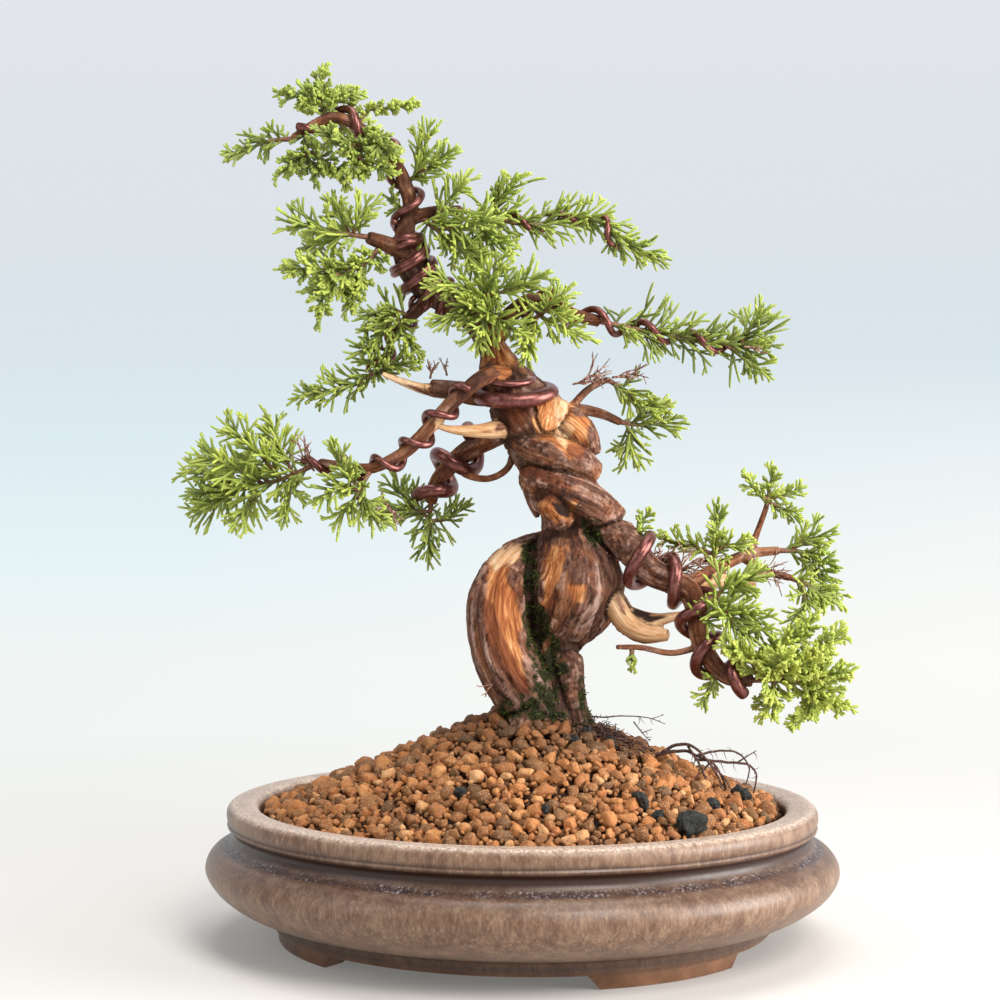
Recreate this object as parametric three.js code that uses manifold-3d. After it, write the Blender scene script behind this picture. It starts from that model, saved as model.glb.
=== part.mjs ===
// A wired juniper bonsai in a shallow, slightly oval glazed pot with four feet.
// Millimetres, +Z up. The origin lies on the table under the pot's centre; the pot's long axis is X.
import * as THREE from "three";
import { mergeVertices } from "three/addons/utils/BufferGeometryUtils.js";
import Module from "manifold-3d";

const wasm = await Module();
wasm.setup();

// ---------- driving dimensions ----------
const POT_LONG = 105; // half the pot's length, at the belly
const POT_SHORT = 100; // half its width
const POT_SEGMENTS = 30;
const UNDERSIDE = 4.5; // height of the pot's underside above the table
const FLOOR = 9.5; // height of the floor inside
const SEAT_GAP = 0.35; // clearance between pieces that rest on or in one another

// The pot's wall from the underside's edge over the rim to the floor: [inset from the belly, height].
const POT_PROFILE = [
  [24, UNDERSIDE], [22, 9],
  [12.6, 11.8], [2.4, 18.6], [0, 24.4], [3.4, 30.6],
  [7, 32.2], [9, 35.6],
  [7.2, 38], [7.2, 43.4], [9.4, 45],
  [15.4, 44.8], [17.6, 41.8],
  [10, 23], [24, FLOOR],
];
const FOOT = { inset: 23.6, depth: 10, middle: 38, spread: 22, steps: 4 }; // angles in degrees
const DRAIN = { out: 40, radius: 9, segments: 12 };
const SCREEN = { side: 27, thick: 1, cells: 2, bar: 2.4 };

// The granular soil: a mound that meets the rim at SOIL_EDGE and peaks under the trunk.
const SOIL_EDGE = 42;
const SOIL_PEAK = 78.6;
const PEAK_AT = [2, 1];
const GRAIN = { pitch: 12, high: 2.8, low: -0.4, jitter: 1.5 };

// Points on the tree are [across, up, deep, radius], read on an upright sheet through the pot's
// centre as the eye sees them; `seen` carries a point out along the sight line to its real depth.
const EYE = new THREE.Vector3(-7, -700, 155);
const TURN = THREE.MathUtils.degToRad(18); // the tree's front is turned this far from the pot's
const UP = new THREE.Vector3(0, 0, 1);

// The trunk and every limb grow as one piece of wood.
const WOOD = {
  trunk: [
    [8, 57, 0, 15], [8, 68, 0, 14.2], [8.4, 77, 1, 12], [9.2, 86, 2, 9.6], [9.4, 94, 3, 9],
    [11, 101, 3, 11.4], [14.4, 109, 2, 15.6], [17.2, 117.4, 1, 17.2], [17, 127, 1, 13.8],
    [15.4, 134, 1, 8.6], [17, 141, 1, 12], [13.6, 148.6, 1, 12.2], [10.6, 157, 1, 11.6],
    [7.4, 165, 1, 12.6], [2.6, 173, 0, 12.6], [-3, 181, 0, 9.4], [-7, 188.6, 0, 7], [-9.8, 197, 1, 5.5],
  ],
  leader: [
    [-9, 194, 1, 5.6], [-11.6, 201, 2, 5.2], [-17, 207, 4, 4.8], [-24, 211, 5, 4.6],
    [-31, 215.6, 4, 4.8], [-36, 223, 2, 5.2], [-38.6, 230, 0, 4.2], [-38.2, 236, 0, 2.8],
    [-36.8, 243, 0, 2.5], [-38.6, 250, 1, 2.4], [-41.4, 256.6, 2, 2.2], [-46, 263, 2, 2],
    [-53, 268.6, 1, 1.9], [-62, 272.6, 0, 1.9], [-69.6, 269.6, -1, 1.8], [-76, 265.4, -1, 1.5],
  ],
  left_lobe: [
    [9, 71, -2, 10], [2.6, 79, -5, 10.2], [-4.4, 90, -7, 10.3], [-7.8, 101, -7, 10],
    [-7.8, 111.6, -5, 9.8], [-4, 120.6, 0, 8.6], [2, 125, 7, 7.8], [9, 127.4, 14, 8],
    [17, 130, 17, 8.4], [24, 134.6, 12, 8.6], [27, 140.6, 5, 7.6],
  ],
  low_coil: [
    [31, 137.6, -3, 5.6], [23, 143.6, -7.6, 6.6], [13.6, 148, -9, 6.8], [5.6, 151.4, -7, 6],
    [3.4, 155.6, 0, 4.4],
  ],
  high_coil: [
    [24, 153.6, -2, 4.8], [18, 157.6, -6, 6.2], [10.6, 161, -8, 7], [3, 163.8, -6.6, 6], [-4, 167.6, 0, 4.4],
  ],
  top_ridge: [[22.4, 160, 1, 4.6], [19.6, 167, -2, 5.8], [13.6, 172, -4.4, 6.2], [7, 175.6, -4, 5.6]],
  sawn_stub: [[3, 167, -3, 5.6], [8, 171.6, -8, 5.6], [13.2, 175.6, -12.6, 6.2]],
  torn_stub: [[14, 139.6, -6, 6.6], [11, 142.6, -10.6, 5.4], [7.4, 145, -13.6, 3.6]],
  right_root: [
    [12.6, 98, 0, 5.4], [15.2, 92, -3.4, 5.4], [16.2, 83.6, -5, 5], [17, 75.6, -4.6, 5.2], [19, 65, -3, 7],
  ],
  front_root: [[6, 78, -8, 6], [1, 70, -11, 5], [-2, 61, -12, 4.6]],
  back_root: [[8, 80, 6, 6], [12, 72, 14, 5.6], [18, 63, 21, 4.8]],
  left_root: [[0, 80, 1, 7], [-5, 71, 3, 5.4], [-11, 61, 5, 4.4]],
  low_limb: [
    [24, 137, 0, 7], [31.6, 134, -5, 5.8], [37, 128, -8.6, 5.1], [43, 121.4, -10, 4.7],
    [50, 118, -10, 4.3], [56, 114.6, -10, 3.9], [58.8, 107.6, -11, 3.6], [59.6, 99.6, -13, 3.3],
    [63, 92, -16, 3], [69, 86, -19, 2.6], [77, 85, -21, 2.2],
  ],
  low_limb_back: [
    [54, 116, -8, 3], [60, 119, -3, 2.6], [67, 123, 1, 2.2], [76, 127, 5, 1.8], [86, 128.2, 8, 1.4],
  ],
  low_limb_side: [[74, 126, 4, 1.8], [81, 121.6, 3, 1.5], [90, 119, 2, 1.2]],
  low_limb_riser: [[76, 127, 5, 1.4], [79, 135, 7, 1.1], [81.6, 142, 8, 1]],
  pale_stub: [[58, 117.6, -4, 2.8], [67, 118, 2, 2.8], [77.6, 116, 5, 2.6]],
  fork_jin: [
    [26, 116, 0, 5], [31.6, 110, -6, 4.7], [35.4, 104.4, -9, 4.4], [41, 100.6, -11, 3.4],
    [49, 100, -13, 2.2],
  ],
  fork_prong: [[34.6, 106.6, -8, 3.8], [44, 105, -10, 2.6], [54, 106.8, -12, 1.3]],
  hanging_twig: [[60.6, 96.4, -13, 1.2], [50.4, 94, -15, 1.1], [40, 95.8, -16, 1], [32, 96, -17, 0.9]],
  left_limb: [
    [-2, 186, -3, 3.4], [-9.4, 187, -9, 3], [-14, 185, -12, 2.7], [-18.8, 181, -13, 2.5],
    [-23.6, 177, -13, 2.4], [-28.4, 171.6, -13, 2.3], [-33.4, 166, -13, 2.3], [-38.4, 161.2, -12, 2.2],
    [-44, 158, -11, 2], [-50, 155.6, -10, 1.8], [-60, 156.4, -8, 1.6], [-67, 157.6, -6, 1.4],
  ],
  back_left_limb: [
    [-4, 169, 3, 4.6], [-10.4, 165.6, 8, 4], [-18, 161.2, 12, 3.5], [-24.2, 156, 14, 3],
    [-28.6, 150, 15, 2.5], [-30, 144, 16, 2],
  ],
  loop_twig: [
    [-23, 157.4, 12, 1.5], [-17.6, 153.2, 8, 1.3], [-10.4, 152.2, 6, 1.2], [-4.4, 155.6, 5, 1.2],
    [-2.6, 161, 3, 1.2],
  ],
  left_stub: [[-4, 180, 0, 4.6], [-13.6, 180, -1, 3.8], [-22, 181.4, -4, 3.4], [-30, 182.2, -6, 3]],
  left_splinter: [[-26, 181, -5, 2.6], [-34, 182.4, -7, 1.8], [-46, 187, -9, 0.9]],
  left_jin: [[-4, 169, -5, 3.6], [-14, 168, -10, 2.5], [-22, 168.4, -12, 1.6], [-27, 169.2, -13, 0.9]],
  mid_left_limb: [[-29, 213.6, 3, 2.8], [-37, 206, 2, 2.1], [-42.4, 199, 1, 1.7]],
  upper_left_limb: [[-37, 227, 0, 3.4], [-45, 230.4, -5, 2.8], [-51, 232.6, -8, 2.1]],
  top_right_limb: [[-37.6, 238.6, 0, 2.5], [-29, 241, 2, 2], [-20, 241.6, 3, 1.6]],
  long_limb: [
    [-9, 198, 1, 4], [-4, 206, -3, 2.9], [3, 211.4, -4, 2.4], [9.8, 210.4, -3, 2.4], [18, 206.6, 0, 2.2],
    [26, 204.6, 2, 2],
  ],
  right_back_limb: [[8, 173, 3, 4], [16, 175.2, 12, 2.1], [26, 174, 20, 1.8], [33, 171, 24, 1.4]],
  right_back_twig: [[16, 175, 11, 1.5], [22.6, 182, 14, 1.3], [28.8, 185.2, 17, 1.1]],
};

// Leafy sprays. The first stem of each starts off the wood, the others branch from that spray's
// own stems: [across, up, deep] each, with `reach` the length of the twigs that stand out of them.
const SPRAYS = {
  apex_tip: { reach: 7, stems: [[[-76, 265.4, -1], [-84, 264.6, -2], [-94, 260.6, -4]]] },
  apex_crown: {
    reach: 7.5,
    stems: [
      [[-64, 271, 0], [-66, 277, 0], [-66.4, 284.6, -1]],
      [[-65.4, 276, 0], [-71, 279, -3], [-76, 280, -5]],
      [[-65, 275, 0], [-60, 279.6, 3], [-57, 280, 4]],
      [[-66, 278, 1], [-68, 279.6, 7], [-71, 277, 12]],
    ],
  },
  apex_front: {
    reach: 7.5,
    stems: [
      [[-51, 268, 2], [-51.8, 264, -3], [-56, 255, -9]],
      [[-54.6, 263, -6], [-49, 265, -9], [-44.6, 261.6, -10]],
      [[-55, 260, -7], [-49.6, 256, -9], [-46, 255, -9]],
      [[-54.6, 263, -6], [-60, 263, -10], [-64, 266, -12]],
    ],
  },
  apex_low: {
    reach: 7,
    stems: [
      [[-71.6, 269.6, -1], [-71.4, 262, -4], [-69, 254, -6]],
      [[-70, 261, -4], [-75, 258, -6], [-78, 255.6, -7]],
      [[-70, 261, -4], [-64, 257, -5], [-60.6, 253, -5]],
    ],
  },
  apex_back: {
    reach: 8,
    stems: [
      [[-60, 272, 0], [-60, 269, 7], [-64, 265, 13]],
      [[-60, 269, 7], [-54, 267, 12], [-50, 264, 14]],
    ],
  },
  apex_arm: { reach: 4.4, stems: [[[-55, 269.6, 1], [-51, 275, 1], [-44, 275.6, 0], [-37, 276.6, -1]]] },
  apex_fan: {
    reach: 8.5,
    stems: [
      [[-38.6, 250, 1], [-34, 255, 0], [-31.6, 265, -2]],
      [[-34.6, 254, 0], [-29, 257, -3], [-26.6, 259, -4]],
    ],
  },
  neck_sprig: { reach: 4.6, stems: [[[-37.2, 242, 0], [-42, 243, 1], [-43, 247, 2]]] },
  upper_left: {
    reach: 8,
    stems: [
      [[-51, 232.6, -8], [-60, 234, -10], [-67, 235.6, -11], [-75, 237, -11]],
      [[-57, 233.6, -9], [-60, 239, -6], [-61, 241.6, -5]],
      [[-56, 233.6, -9], [-54.6, 237.6, -12], [-53, 240.6, -13]],
      [[-60, 234, -10], [-64, 231, -3], [-70, 229.6, 3]],
    ],
  },
  upper_left_low: {
    reach: 8,
    stems: [
      [[-46, 230.6, -5], [-52, 224, -9], [-60, 219.6, -14], [-66, 213, -16], [-66.6, 208.6, -16]],
      [[-54, 222.6, -10], [-54.6, 217, -10], [-56, 213, -10]],
      [[-60, 219.6, -14], [-68, 222, -17], [-75, 222, -18]],
      [[-54, 222.6, -10], [-62, 221, -3], [-68, 217, 2]],
    ],
  },
  mid_left: {
    reach: 7.5,
    stems: [
      [[-42.4, 199, 1], [-46.6, 191, 0], [-54, 184, -1], [-62, 182, -2], [-71, 180, -3]],
      [[-50, 187, -0.6], [-44, 189, -5], [-38, 190.6, -7]],
      [[-44.6, 195, 0], [-50, 196, -5], [-52.6, 195, -7]],
    ],
  },
  mid_left_top: {
    reach: 7.5,
    stems: [
      [[-37, 206, 2], [-42, 208, -1], [-48, 207, -3]],
      [[-41, 208, -1], [-46, 201.6, -7], [-48, 198.6, -8]],
      [[-41, 208, -1], [-40, 201, -7], [-37, 197, -9]],
    ],
  },
  top_right: {
    reach: 9.5,
    stems: [
      [
        [-20, 241.6, 3], [-8, 238.6, 5], [6, 236.6, 6], [20, 239.6, 7], [27, 237, 7], [33, 231, 5],
        [43, 227, 4],
      ],
      [[-12, 239.6, 4], [-9, 244, 0], [-4, 248.6, -2]],
      [[-14, 240, 4], [-14, 236, -3], [-8, 231, -7]],
    ],
  },
  top_right_low: {
    reach: 9,
    stems: [
      [[-34, 239.6, 1], [-28, 235, -3], [-22, 230.6, -7], [-17, 226, -9]],
      [[-28, 235, -3], [-20, 236, -8], [-13, 237.6, -10]],
      [[-30, 236.6, -2], [-25, 243.6, -5], [-21, 249, -6]],
      [[-24, 232, -6], [-20, 228, 1], [-16, 226, 6]],
    ],
  },
  middle: {
    reach: 8,
    stems: [
      [[-6, 203, -2], [-11, 209, -7], [-12, 215, -11], [-8, 222, -14]],
      [[-12, 213, -10], [-19, 216, -13], [-26, 216, -15]],
      [[-11.6, 210, -8], [-19, 209, -12], [-24, 206, -13]],
      [[-12, 213, -10], [-4, 215, -14], [4, 218, -15]],
      [[-11, 208.6, -7], [-7, 205, -13], [-2, 202, -15]],
      [[-11.6, 210, -8], [-13, 203.6, -14], [-14, 198.6, -15]],
    ],
  },
  middle_right: {
    reach: 8,
    stems: [
      [[3, 211.4, -4], [7, 206, -8], [13, 203, -10], [19, 200.6, -11]],
      [[6, 207, -7], [3, 201, -11], [2, 196, -12]],
      [[6.6, 206.6, -8], [10, 210, -13], [13, 213, -15]],
    ],
  },
  long_limb: {
    reach: 10,
    stems: [
      [[26, 204.6, 2], [36, 202.4, 4], [48, 200.4, 5.6], [60, 197.6, 6], [72, 197, 5.6], [81.6, 196.4, 5]],
      [[73, 197, 5.6], [76, 202, 5], [79, 205.6, 4]],
      [[68, 197, 6], [75, 191.6, 6], [79, 188.6, 6]],
    ],
  },
  right_back: {
    reach: 9.5,
    stems: [
      [[33, 171, 24], [40, 170, 27], [48, 170.6, 29]],
      [[35, 170.6, 25], [37, 165, 26], [36, 161, 27]],
    ],
  },
  right_back_top: {
    reach: 8,
    stems: [[[28.8, 185.2, 17], [33.6, 182, 19], [39, 177.6, 21], [44, 176.6, 22]]],
  },
  left_pad: {
    reach: 8.5,
    stems: [
      [[-67, 157.6, -6], [-78, 152.6, -4], [-90, 149, -1], [-106, 147, 3]],
      [[-76, 154, -5], [-80, 161.6, -2], [-83, 169, 0]],
      [[-80, 152, -4], [-86, 159, -7], [-91, 164, -8], [-96, 168, -8]],
      [[-86, 150.4, -2], [-95, 155.6, -8], [-104, 158.6, -9]],
      [[-84, 151, -2.6], [-91, 156, 7], [-100, 159, 12]],
      [[-88, 149.4, -1.6], [-90, 144, -7], [-93, 140, -9]],
      [[-96, 148, 1], [-101, 143.6, 5], [-105, 141.6, 7]],
      [[-77, 153.2, -4.4], [-77, 147, -8], [-78, 141.6, -9]],
      [[-93, 148.6, 0], [-101, 152.6, 3], [-107, 154, 4]],
    ],
  },
  left_inner: {
    reach: 7.5,
    stems: [
      [[-50, 155.6, -10], [-54, 148, -13], [-59.6, 140, -14]],
      [[-54, 148, -13], [-60, 150, -16], [-65, 147, -17]],
      [[-55, 146.6, -13], [-51, 141, -13], [-49, 139, -13]],
      [[-53, 149, -13], [-58, 153, -17], [-61, 158.6, -18]],
    ],
  },
  back_left: {
    reach: 8,
    stems: [
      [[-30, 144, 16], [-30.6, 137, 17], [-30.6, 129, 17]],
      [[-30.4, 141, 16.6], [-37, 141.6, 14], [-44, 140.6, 13]],
      [[-30.6, 138, 17], [-24.6, 138.6, 19], [-21, 141, 20]],
      [[-30.4, 139, 16.8], [-37, 143, 21], [-41, 150, 23]],
    ],
  },
  right_pad: {
    reach: 7.5,
    stems: [
      [[77, 85, -21], [88, 84.6, -20], [97, 82.6, -20], [105.6, 77.6, -20]],
      [[80, 85.6, -21], [84, 92, -22], [90, 98, -23], [95, 103, -23]],
      [[84, 85, -20.6], [93, 89.6, -24], [101, 95, -25], [104, 99, -25]],
      [[92, 84, -20], [100, 86, -23], [106, 87, -24]],
      [[79, 85.4, -21], [77, 91, -26], [71, 95, -28]],
      [[82, 85, -20.6], [84, 89, -29], [88, 92, -34]],
      [[85, 85, -20.4], [92, 89, -13], [100, 93, -8]],
      [[84, 85, -20.6], [84.6, 79, -20], [83, 76, -20]],
      [[96, 83, -20], [98, 76, -19], [93.6, 73, -19]],
    ],
  },
  right_middle: {
    reach: 8.5,
    stems: [
      [[60.1, 104.6, -10], [63, 106.1, -17], [71, 109, -20], [79, 104.6, -21]],
      [[64, 111, -17.6], [68, 116, -19], [75, 118, -20]],
      [[68, 109.6, -19], [71, 104, -24], [76, 100, -26]],
    ],
  },
  right_far: {
    reach: 8,
    stems: [
      [[86, 128.2, 8], [94, 127.6, 9], [100, 125, 9]],
      [[90, 128.2, 8.6], [95, 131.6, 8], [99, 132.6, 8]],
      [[94, 127.4, 9], [100, 119, 10], [104, 114, 9]],
    ],
  },
  right_far_low: {
    reach: 7.5,
    stems: [
      [[90, 119, 2], [97, 116, 0], [102, 112.6, -1]],
      [[94, 117.6, 1], [94.6, 110, -3], [93, 105, -5]],
    ],
  },
  right_riser: {
    reach: 5,
    stems: [
      [[81.6, 142, 8], [82.6, 147, 8], [83.6, 153, 8]],
      [[82.2, 145, 8], [78, 148.6, 6], [76, 151, 6]],
      [[82.2, 145.6, 8], [88, 146.6, 10], [92, 148, 11]],
      [[82, 144.6, 8], [87.6, 142, 7], [91, 140, 7]],
    ],
  },
  right_sprig: {
    reach: 5.4,
    stems: [
      [[63, 121, -1], [64.6, 130, 0], [65.4, 140.6, 1]],
      [[64, 127, 0], [57, 129.6, 3], [49, 131.6, 4]],
      [[64.4, 128, 0], [70, 130, -2], [74, 130.6, -3]],
    ],
  },
  coil_sprig: { reach: 4, stems: [[[34.5, 130.5, -8.6], [39.85, 136, -6], [41.6, 139.6, -6]]] },
  hanging_sprig: { reach: 3.4, stems: [[[37, 95.8, -16], [37, 92, -16.6], [37.6, 89.6, -17]]] },
  right_under: { reach: 5, stems: [[[66, 88.6, -17.6], [63, 83, -20], [61, 79, -21]]] },
};

const STEM_RADIUS = 1.15;
const NODE_PITCH = 13.6; // from one whorl of twigs on a stem to the next
const NEEDLE = 0.78; // half a twig's thickness where its needles grow
const COIL_STEPS = 6; // of a training wire, per turn
const WIRE_SIDES = 5; // four where the wire is thin

// ---------- geometry helpers ----------
const rounds = (degrees) => THREE.MathUtils.degToRad(degrees);

// A seeded stream of numbers from 0 to 1.
function stream(seed) {
  let state = seed >>> 0;
  return () => {
    state = (state + 0x6d2b79f5) | 0;
    let t = Math.imul(state ^ (state >>> 15), 1 | state);
    t = (t + Math.imul(t ^ (t >>> 7), 61 | t)) ^ t;
    return ((t ^ (t >>> 14)) >>> 0) / 4294967296;
  };
}

function seen([across, up, deep]) {
  const reach = 1 + deep / -EYE.y;
  const point = new THREE.Vector3(EYE.x + (across - EYE.x) * reach, deep, EYE.z + (up - EYE.z) * reach);
  return point.applyAxisAngle(UP, TURN);
}

// A closed three.js geometry as a manifold solid.
function solid(geometry) {
  const bare = new THREE.BufferGeometry();
  bare.setAttribute("position", geometry.getAttribute("position"));
  bare.setIndex(geometry.index);
  const merged = mergeVertices(bare, 1e-4);
  const triangles = [];
  const index = merged.index.array;
  for (let i = 0; i < index.length; i += 3) {
    const [a, b, c] = [index[i], index[i + 1], index[i + 2]];
    if (a !== b && b !== c && a !== c) triangles.push(a, b, c);
  }
  return new wasm.Manifold(
    new wasm.Mesh({
      numProp: 3,
      vertProperties: merged.attributes.position.array,
      triVerts: new Uint32Array(triangles),
    }),
  );
}

function geometryOf(manifold) {
  const mesh = manifold.getMesh();
  const geometry = new THREE.BufferGeometry();
  geometry.setAttribute("position", new THREE.BufferAttribute(mesh.vertProperties, 3));
  geometry.setIndex(new THREE.BufferAttribute(mesh.triVerts, 1));
  return geometry;
}

const union = (solids) => wasm.Manifold.union(solids);

// The largest connected body of a solid.
function mainBody(manifold) {
  return manifold.decompose().sort((a, b) => b.volume() - a.volume())[0];
}

// Rings of `sides` points round a path of centres, capped at both ends.
function ringedTube(centres, radii, frames, sides) {
  const positions = [];
  centres.forEach((centre, i) => {
    for (let k = 0; k < sides; k++) {
      const angle = (2 * Math.PI * k) / sides;
      const point = centre
        .clone()
        .addScaledVector(frames.normals[i], radii[i] * Math.cos(angle))
        .addScaledVector(frames.binormals[i], radii[i] * Math.sin(angle));
      positions.push(point.x, point.y, point.z);
    }
  });
  const last = centres.length - 1;
  const ends = [centres[0], centres[last]];
  ends.forEach((end) => positions.push(end.x, end.y, end.z));
  const startCap = centres.length * sides;
  const index = [];
  for (let i = 0; i <= last; i++) {
    for (let k = 0; k < sides; k++) {
      const next = (k + 1) % sides;
      const [a, b] = [i * sides + k, i * sides + next];
      if (i === 0) index.push(startCap, b, a);
      if (i === last) index.push(startCap + 1, a, b);
      else index.push(a, b, b + sides, a, b + sides, a + sides);
    }
  }
  const geometry = new THREE.BufferGeometry();
  geometry.setAttribute("position", new THREE.Float32BufferAttribute(positions, 3));
  geometry.setIndex(index);
  return geometry;
}

// A tapering tube through real points, each with its own radius; grow adds to every radius.
function taperedTube(points, radii, sides, steps, grow = 0) {
  const curve = new THREE.CatmullRomCurve3(points, false, "centripetal");
  const count = (points.length - 1) * steps;
  const frames = curve.computeFrenetFrames(count, false);
  const centres = [];
  const widths = [];
  for (let i = 0; i <= count; i++) {
    const u = curve.getUtoTmapping(i / count) * (points.length - 1);
    const k = Math.min(Math.floor(u), points.length - 2);
    centres.push(curve.getPointAt(i / count));
    widths.push(THREE.MathUtils.lerp(radii[k], radii[k + 1], u - k) + grow);
  }
  return ringedTube(centres, widths, frames, sides);
}

// ---------- what each new shoot has to stay clear of ----------
const taken = []; // {a, b, radius, owner}

function claim(owner, points, radii, part) {
  for (let i = 0; i + 1 < points.length; i++) {
    taken.push({ a: points[i], b: points[i + 1], radius: Math.max(radii[i], radii[i + 1]), owner, part });
  }
}

function segmentGap(a, b, c, d) {
  const [u, v, w] = [b.clone().sub(a), d.clone().sub(c), a.clone().sub(c)];
  const [uu, uv, vv, uw, vw] = [u.dot(u), u.dot(v), v.dot(v), u.dot(w), v.dot(w)];
  const clamp = (x) => Math.min(1, Math.max(0, x));
  const across = uu * vv - uv * uv;
  let s = across > 1e-9 ? clamp((uv * vw - vv * uw) / across) : 0;
  const t = clamp((uv * s + vw) / Math.max(vv, 1e-9));
  s = clamp((uv * t - uw) / Math.max(uu, 1e-9));
  return a.clone().addScaledVector(u, s).distanceTo(c.clone().addScaledVector(v, t));
}

function isClear(owner, a, b, radius, margin, carrier = owner) {
  return taken
    .filter((other) => other.owner !== owner && other.owner !== carrier)
    .every((other) => segmentGap(a, b, other.a, other.b) > radius + other.radius + margin);
}

// Whether a new part of a spray keeps off that spray's other parts.
function isApart(owner, part, a, b, radius) {
  return taken
    .filter((other) => other.owner === owner && other.part !== part)
    .every((other) => segmentGap(a, b, other.a, other.b) > radius + other.radius - 0.25);
}

// ---------- the pot ----------
// Lathes a profile of [inset, height] and squeezes it into the pot's oval.
function ovalLathe(profile) {
  const onAxis = (height) => new THREE.Vector2(0, height);
  const outline = profile.map(([inset, height]) => new THREE.Vector2(POT_LONG - inset, height));
  const closed = [onAxis(profile[0][1]), ...outline, onAxis(profile[profile.length - 1][1])];
  const geometry = new THREE.LatheGeometry(closed, POT_SEGMENTS).rotateX(Math.PI / 2);
  const position = geometry.getAttribute("position");
  for (let i = 0; i < position.count; i++) {
    const radius = Math.hypot(position.getX(i), position.getY(i));
    if (radius < 1e-6) continue;
    const squeezed = radius - (POT_LONG - POT_SHORT) * Math.min(1, radius / 60);
    position.setY(i, (position.getY(i) * squeezed) / radius);
  }
  return solid(geometry);
}

function ovalPoint(inset, degrees) {
  const angle = rounds(degrees);
  return [(POT_LONG - inset) * Math.cos(angle), (POT_SHORT - inset) * Math.sin(angle)];
}

function footOutline(middle) {
  const { inset, depth, spread, steps } = FOOT;
  const corners = [];
  for (let i = 0; i <= steps; i++) {
    corners.push(ovalPoint(inset, middle - spread + (2 * spread * i) / steps));
    corners.unshift(ovalPoint(inset + depth, middle - spread + 2 + ((2 * spread - 4) * i) / steps));
  }
  return new THREE.Shape(corners.map(([x, y]) => new THREE.Vector2(x, y)));
}

function pot() {
  const feet = [FOOT.middle, 180 - FOOT.middle, 180 + FOOT.middle, 360 - FOOT.middle].map((middle) =>
    solid(new THREE.ExtrudeGeometry(footOutline(middle), { depth: UNDERSIDE + 0.8, bevelEnabled: false })),
  );
  const drains = [-DRAIN.out, DRAIN.out].map((x) =>
    solid(
      new THREE.CylinderGeometry(DRAIN.radius, DRAIN.radius, 3 * FLOOR, DRAIN.segments)
        .rotateX(Math.PI / 2)
        .translate(x, 0, 0),
    ),
  );
  return union([ovalLathe(POT_PROFILE), ...feet]).subtract(union(drains));
}

// A square of plastic netting over a drain hole.
function drainScreen(x) {
  const pitch = (SCREEN.side - SCREEN.bar) / SCREEN.cells;
  const spread = (i) => (i - (SCREEN.cells - 1) / 2) * pitch;
  const opening = new THREE.BoxGeometry(pitch - SCREEN.bar, pitch - SCREEN.bar, 2 * SCREEN.thick);
  const openings = [];
  for (let i = 0; i < SCREEN.cells; i++) {
    for (let j = 0; j < SCREEN.cells; j++) {
      openings.push(solid(opening.clone().translate(spread(i), spread(j), 0)));
    }
  }
  const plate = solid(new THREE.BoxGeometry(SCREEN.side, SCREEN.side, SCREEN.thick));
  return plate.subtract(union(openings)).translate([x, 0, FLOOR + SEAT_GAP + SCREEN.thick / 2]);
}

// ---------- the soil ----------
function moundHeight(x, y) {
  const reach = Math.hypot((x - PEAK_AT[0]) / (POT_LONG - 18), (y - PEAK_AT[1]) / (POT_SHORT - 18));
  return SOIL_EDGE + (SOIL_PEAK - SOIL_EDGE) * (1 - Math.min(1, reach));
}

// A sheet of six-sided granules raised over the mound, closed down to below the floor.
function granuleBlock() {
  const random = stream(11);
  const row = (GRAIN.pitch * Math.sqrt(3)) / 2;
  const rows = Math.ceil((POT_SHORT + 4) / row);
  const columns = Math.ceil((POT_LONG + 4) / GRAIN.pitch);
  const positions = [];
  const ids = new Map();
  const vertex = (key, x, y, z) => {
    if (!ids.has(key)) {
      ids.set(key, positions.length / 3);
      positions.push(x, y, z);
    }
    return ids.get(key);
  };
  const index = [];
  const rim = new Map(); // directed edges of the sheet, to find its border
  const face = (a, b, c) => {
    index.push(a, b, c);
    for (const [from, to] of [[a, b], [b, c], [c, a]]) {
      if (!rim.delete(`${to}>${from}`)) rim.set(`${from}>${to}`, [from, to]);
    }
  };
  const corner = (cx, cy, k) => {
    const angle = rounds(60 * k + 30);
    const radius = GRAIN.pitch / Math.sqrt(3);
    const [x, y] = [cx + radius * Math.cos(angle), cy + radius * Math.sin(angle)];
    return vertex(`${x.toFixed(2)},${y.toFixed(2)}`, x, y, moundHeight(x, y) + GRAIN.low);
  };
  for (let j = -rows; j <= rows; j++) {
    for (let i = -columns; i <= columns; i++) {
      const cx = (i + (j & 1) / 2) * GRAIN.pitch;
      const cy = j * row;
      const [dx, dy, lift] = [random() - 0.5, random() - 0.5, random()];
      const top = [cx + dx * GRAIN.jitter * 2, cy + dy * GRAIN.jitter * 2];
      const height = moundHeight(...top) + GRAIN.high * (0.45 + 0.55 * lift);
      const centre = vertex(`centre ${i},${j}`, ...top, height);
      for (let k = 0; k < 6; k++) face(centre, corner(cx, cy, k), corner(cx, cy, k + 1));
    }
  }
  const skirt = new Map();
  const below = (v) => {
    if (!skirt.has(v)) {
      skirt.set(v, positions.length / 3);
      positions.push(positions[3 * v], positions[3 * v + 1], 0);
    }
    return skirt.get(v);
  };
  const base = positions.length / 3;
  positions.push(0, 0, 0);
  for (const [from, to] of rim.values()) {
    index.push(from, below(from), to, to, below(from), below(to));
    index.push(base, below(to), below(from));
  }
  const geometry = new THREE.BufferGeometry();
  geometry.setAttribute("position", new THREE.Float32BufferAttribute(positions, 3));
  geometry.setIndex(index);
  return solid(geometry);
}

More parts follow.
